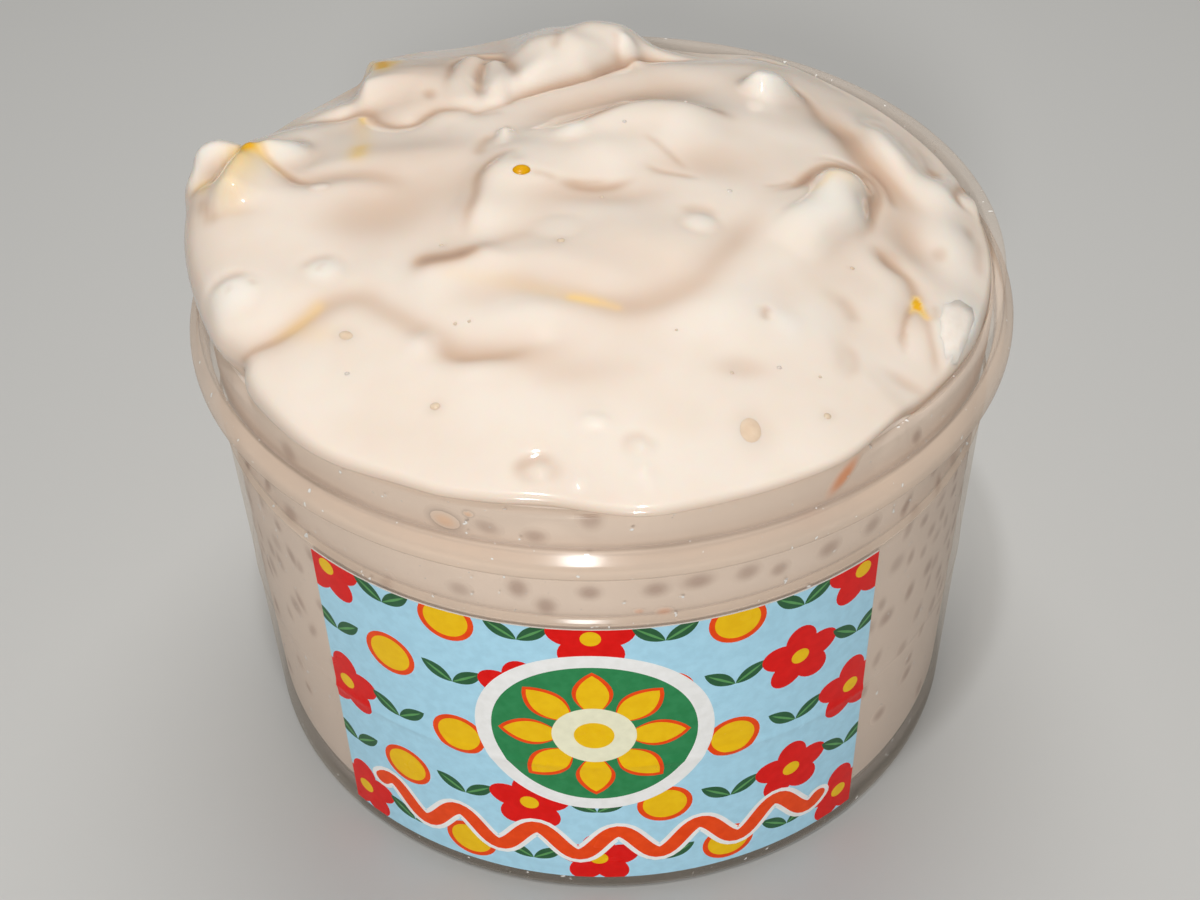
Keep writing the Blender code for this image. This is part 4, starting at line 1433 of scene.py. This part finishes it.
def ink_material(name, colour):
    n = Nodes(f"print in {name}")
    n.base(n.mottle(colour, tuple(min(255, c + 8) for c in colour), 900, 0.35, 0.65))
    n.join(n.ramp(n.noise(160, 3), 0.3, 0.7, 0.2, 0.28), n.shader.inputs["Roughness"])
    n.set(Specular_IOR_Level=0.12)
    n.bump(n.noise(500, 2), 0.00002, 0.3)
    return n.material


# ---------------------------------------------------------------- camera, floor and lights

UNIT = tub_reach  # half the tub's width
CAMERA_HEIGHT_ANGLE = 42.3
CAMERA_ROLL = -1.7
CAMERA_DISTANCE = 4.807 * UNIT
CAMERA_LENS = 54
CAMERA_SENSOR = 36
LOOK_AT = Vector((-0.013 * UNIT, 0, 0.637 * UNIT))
FLOOR_REACH = 2000
FLOOR_LEVEL = -0.02
AIM = Vector((0, 0, 35))  # where the lights point
STUDIO_COLOUR = (0.94, 0.93, 0.91, 1)
STUDIO_STRENGTH = 0.11
# The lights: (name, place, width, power, colour, whether it shows in gloss).
LIGHTS = (
    ("key", (-60, -500, 310), 80, 1.54, (1, 0.993, 0.98), True),
    ("glint", (-25, -115, 480), 26, 0.46, (1, 1, 1), True),
    ("top", (20, 190, 485), 300, 1.2, (1, 0.98, 0.95), False),
)


def make_camera():
    rise, roll = math.radians(CAMERA_HEIGHT_ANGLE), math.radians(CAMERA_ROLL)
    back = Vector((0, -math.cos(rise), math.sin(rise)))
    right, up = Vector((1, 0, 0)), Vector((0, math.sin(rise), math.cos(rise)))
    turned_right = right * math.cos(roll) + up * math.sin(roll)
    turned_up = -right * math.sin(roll) + up * math.cos(roll)
    data = bpy.data.cameras.new("camera")
    data.lens, data.sensor_width = CAMERA_LENS, CAMERA_SENSOR
    data.clip_start = 0.01
    camera = bpy.data.objects.new("camera", data)
    bpy.context.scene.collection.objects.link(camera)
    place = Matrix.Translation((LOOK_AT + back * CAMERA_DISTANCE) * MM)
    camera.matrix_world = place @ Matrix((turned_right, turned_up, back)).transposed().to_4x4()
    bpy.context.scene.camera = camera


def area_light(name, place, width, power, colour, glossy):
    data = bpy.data.lights.new(name, "AREA")
    data.shape = "DISK"
    data.size = width * MM
    data.energy = power
    data.color = colour
    light = bpy.data.objects.new(name, data)
    light.visible_glossy = glossy
    bpy.context.scene.collection.objects.link(light)
    turn = (AIM - Vector(place)).normalized().to_track_quat("-Z", "Y").to_matrix().to_4x4()
    light.matrix_world = Matrix.Translation(Vector(place) * MM) @ turn


def make_stage():
    n = Nodes("pale floor")
    n.base(n.mix(n.noise(4), (206, 206, 204), (200, 200, 198)))
    n.set(Roughness=0.6)
    r = FLOOR_REACH
    corners = [(x, y, FLOOR_LEVEL) for x, y in ((-r, -r), (r, -r), (r, r), (-r, r))]
    floor = new_object("floor", corners, [(0, 1, 2, 3)], [n.material])
    world = bpy.data.worlds.new("studio")
    world.use_nodes = True
    background = world.node_tree.nodes["Background"]
    background.inputs["Color"].default_value = STUDIO_COLOUR
    background.inputs["Strength"].default_value = STUDIO_STRENGTH
    bpy.context.scene.world = world
    bpy.context.scene.view_settings.view_transform = "Standard"
    for light in LIGHTS:
        area_light(*light)


def part_of(piece, node, replaces=True):
    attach(piece, "root")
    if replaces:
        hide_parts(node)


def in_slime(piece):
    part_of(piece, "slime", replaces=False)


make_camera()
make_stage()
part_of(make_tub(tub_material()), "tub")
slime = make_slime([slime_material(), side_material()])
part_of(slime, "slime")

front_and_sides = [*FRONT_PELLETS, *wall_pellets(np.random.default_rng(21))]
seen_through = cap_material("pellets behind the wall", (194, 167, 150))
in_slime(caps("pellets_behind_wall", front_and_sides, seen_through, CAP_BLUR))

skin_points = [vertex.co / MM for vertex in slime.data.vertices]
skin = BVHTree.FromPolygons(skin_points, [face.vertices for face in slime.data.polygons])
tan_pellet = pellet_material("tan pellets", (238, 213, 187), (230, 202, 175))
pale_pellet = pellet_material("pale pellets", (236, 220, 208), (226, 208, 196))
yellow_bit = pellet_material("yellow bits", (236, 178, 4), (228, 160, 0), 0.3)
in_slime(flush_pellets("pellets_in_top", TOP_PELLETS, skin, tan_pellet))
in_slime(flush_pellets("pale_pellets_in_top", PALE_PELLETS, skin, pale_pellet))
in_slime(flush_pellets("yellow_bits_in_top", YELLOW_BITS, skin, yellow_bit, 0.3))
in_slime(white_chunk(skin, pellet_material("white crumb", (247, 237, 226), (242, 230, 218), 0.3)))

shade = cap_material("shade round the lip's pellets", (112, 76, 52))
in_slime(caps("lip_pellet_shade", LIP_PELLETS, shade))
x_share, z_share = LIP_PELLET_INSIDE
middles = [(b, h, x_share * wide, z_share * tall, turn, 1.0) for b, h, wide, tall, turn, _ in LIP_PELLETS]
in_slime(caps("lip_pellets", middles, cap_material("pellets at the lip", (252, 214, 180)), lift=0.12))
orange = cap_material("orange bits behind the wall", (250, 152, 64))
in_slime(caps("orange_bits_behind_wall", ORANGE_BITS, orange, lift=0.1))

part_of(make_label([ink_material(name, colour) for name, colour in INKS.items()]), "label")
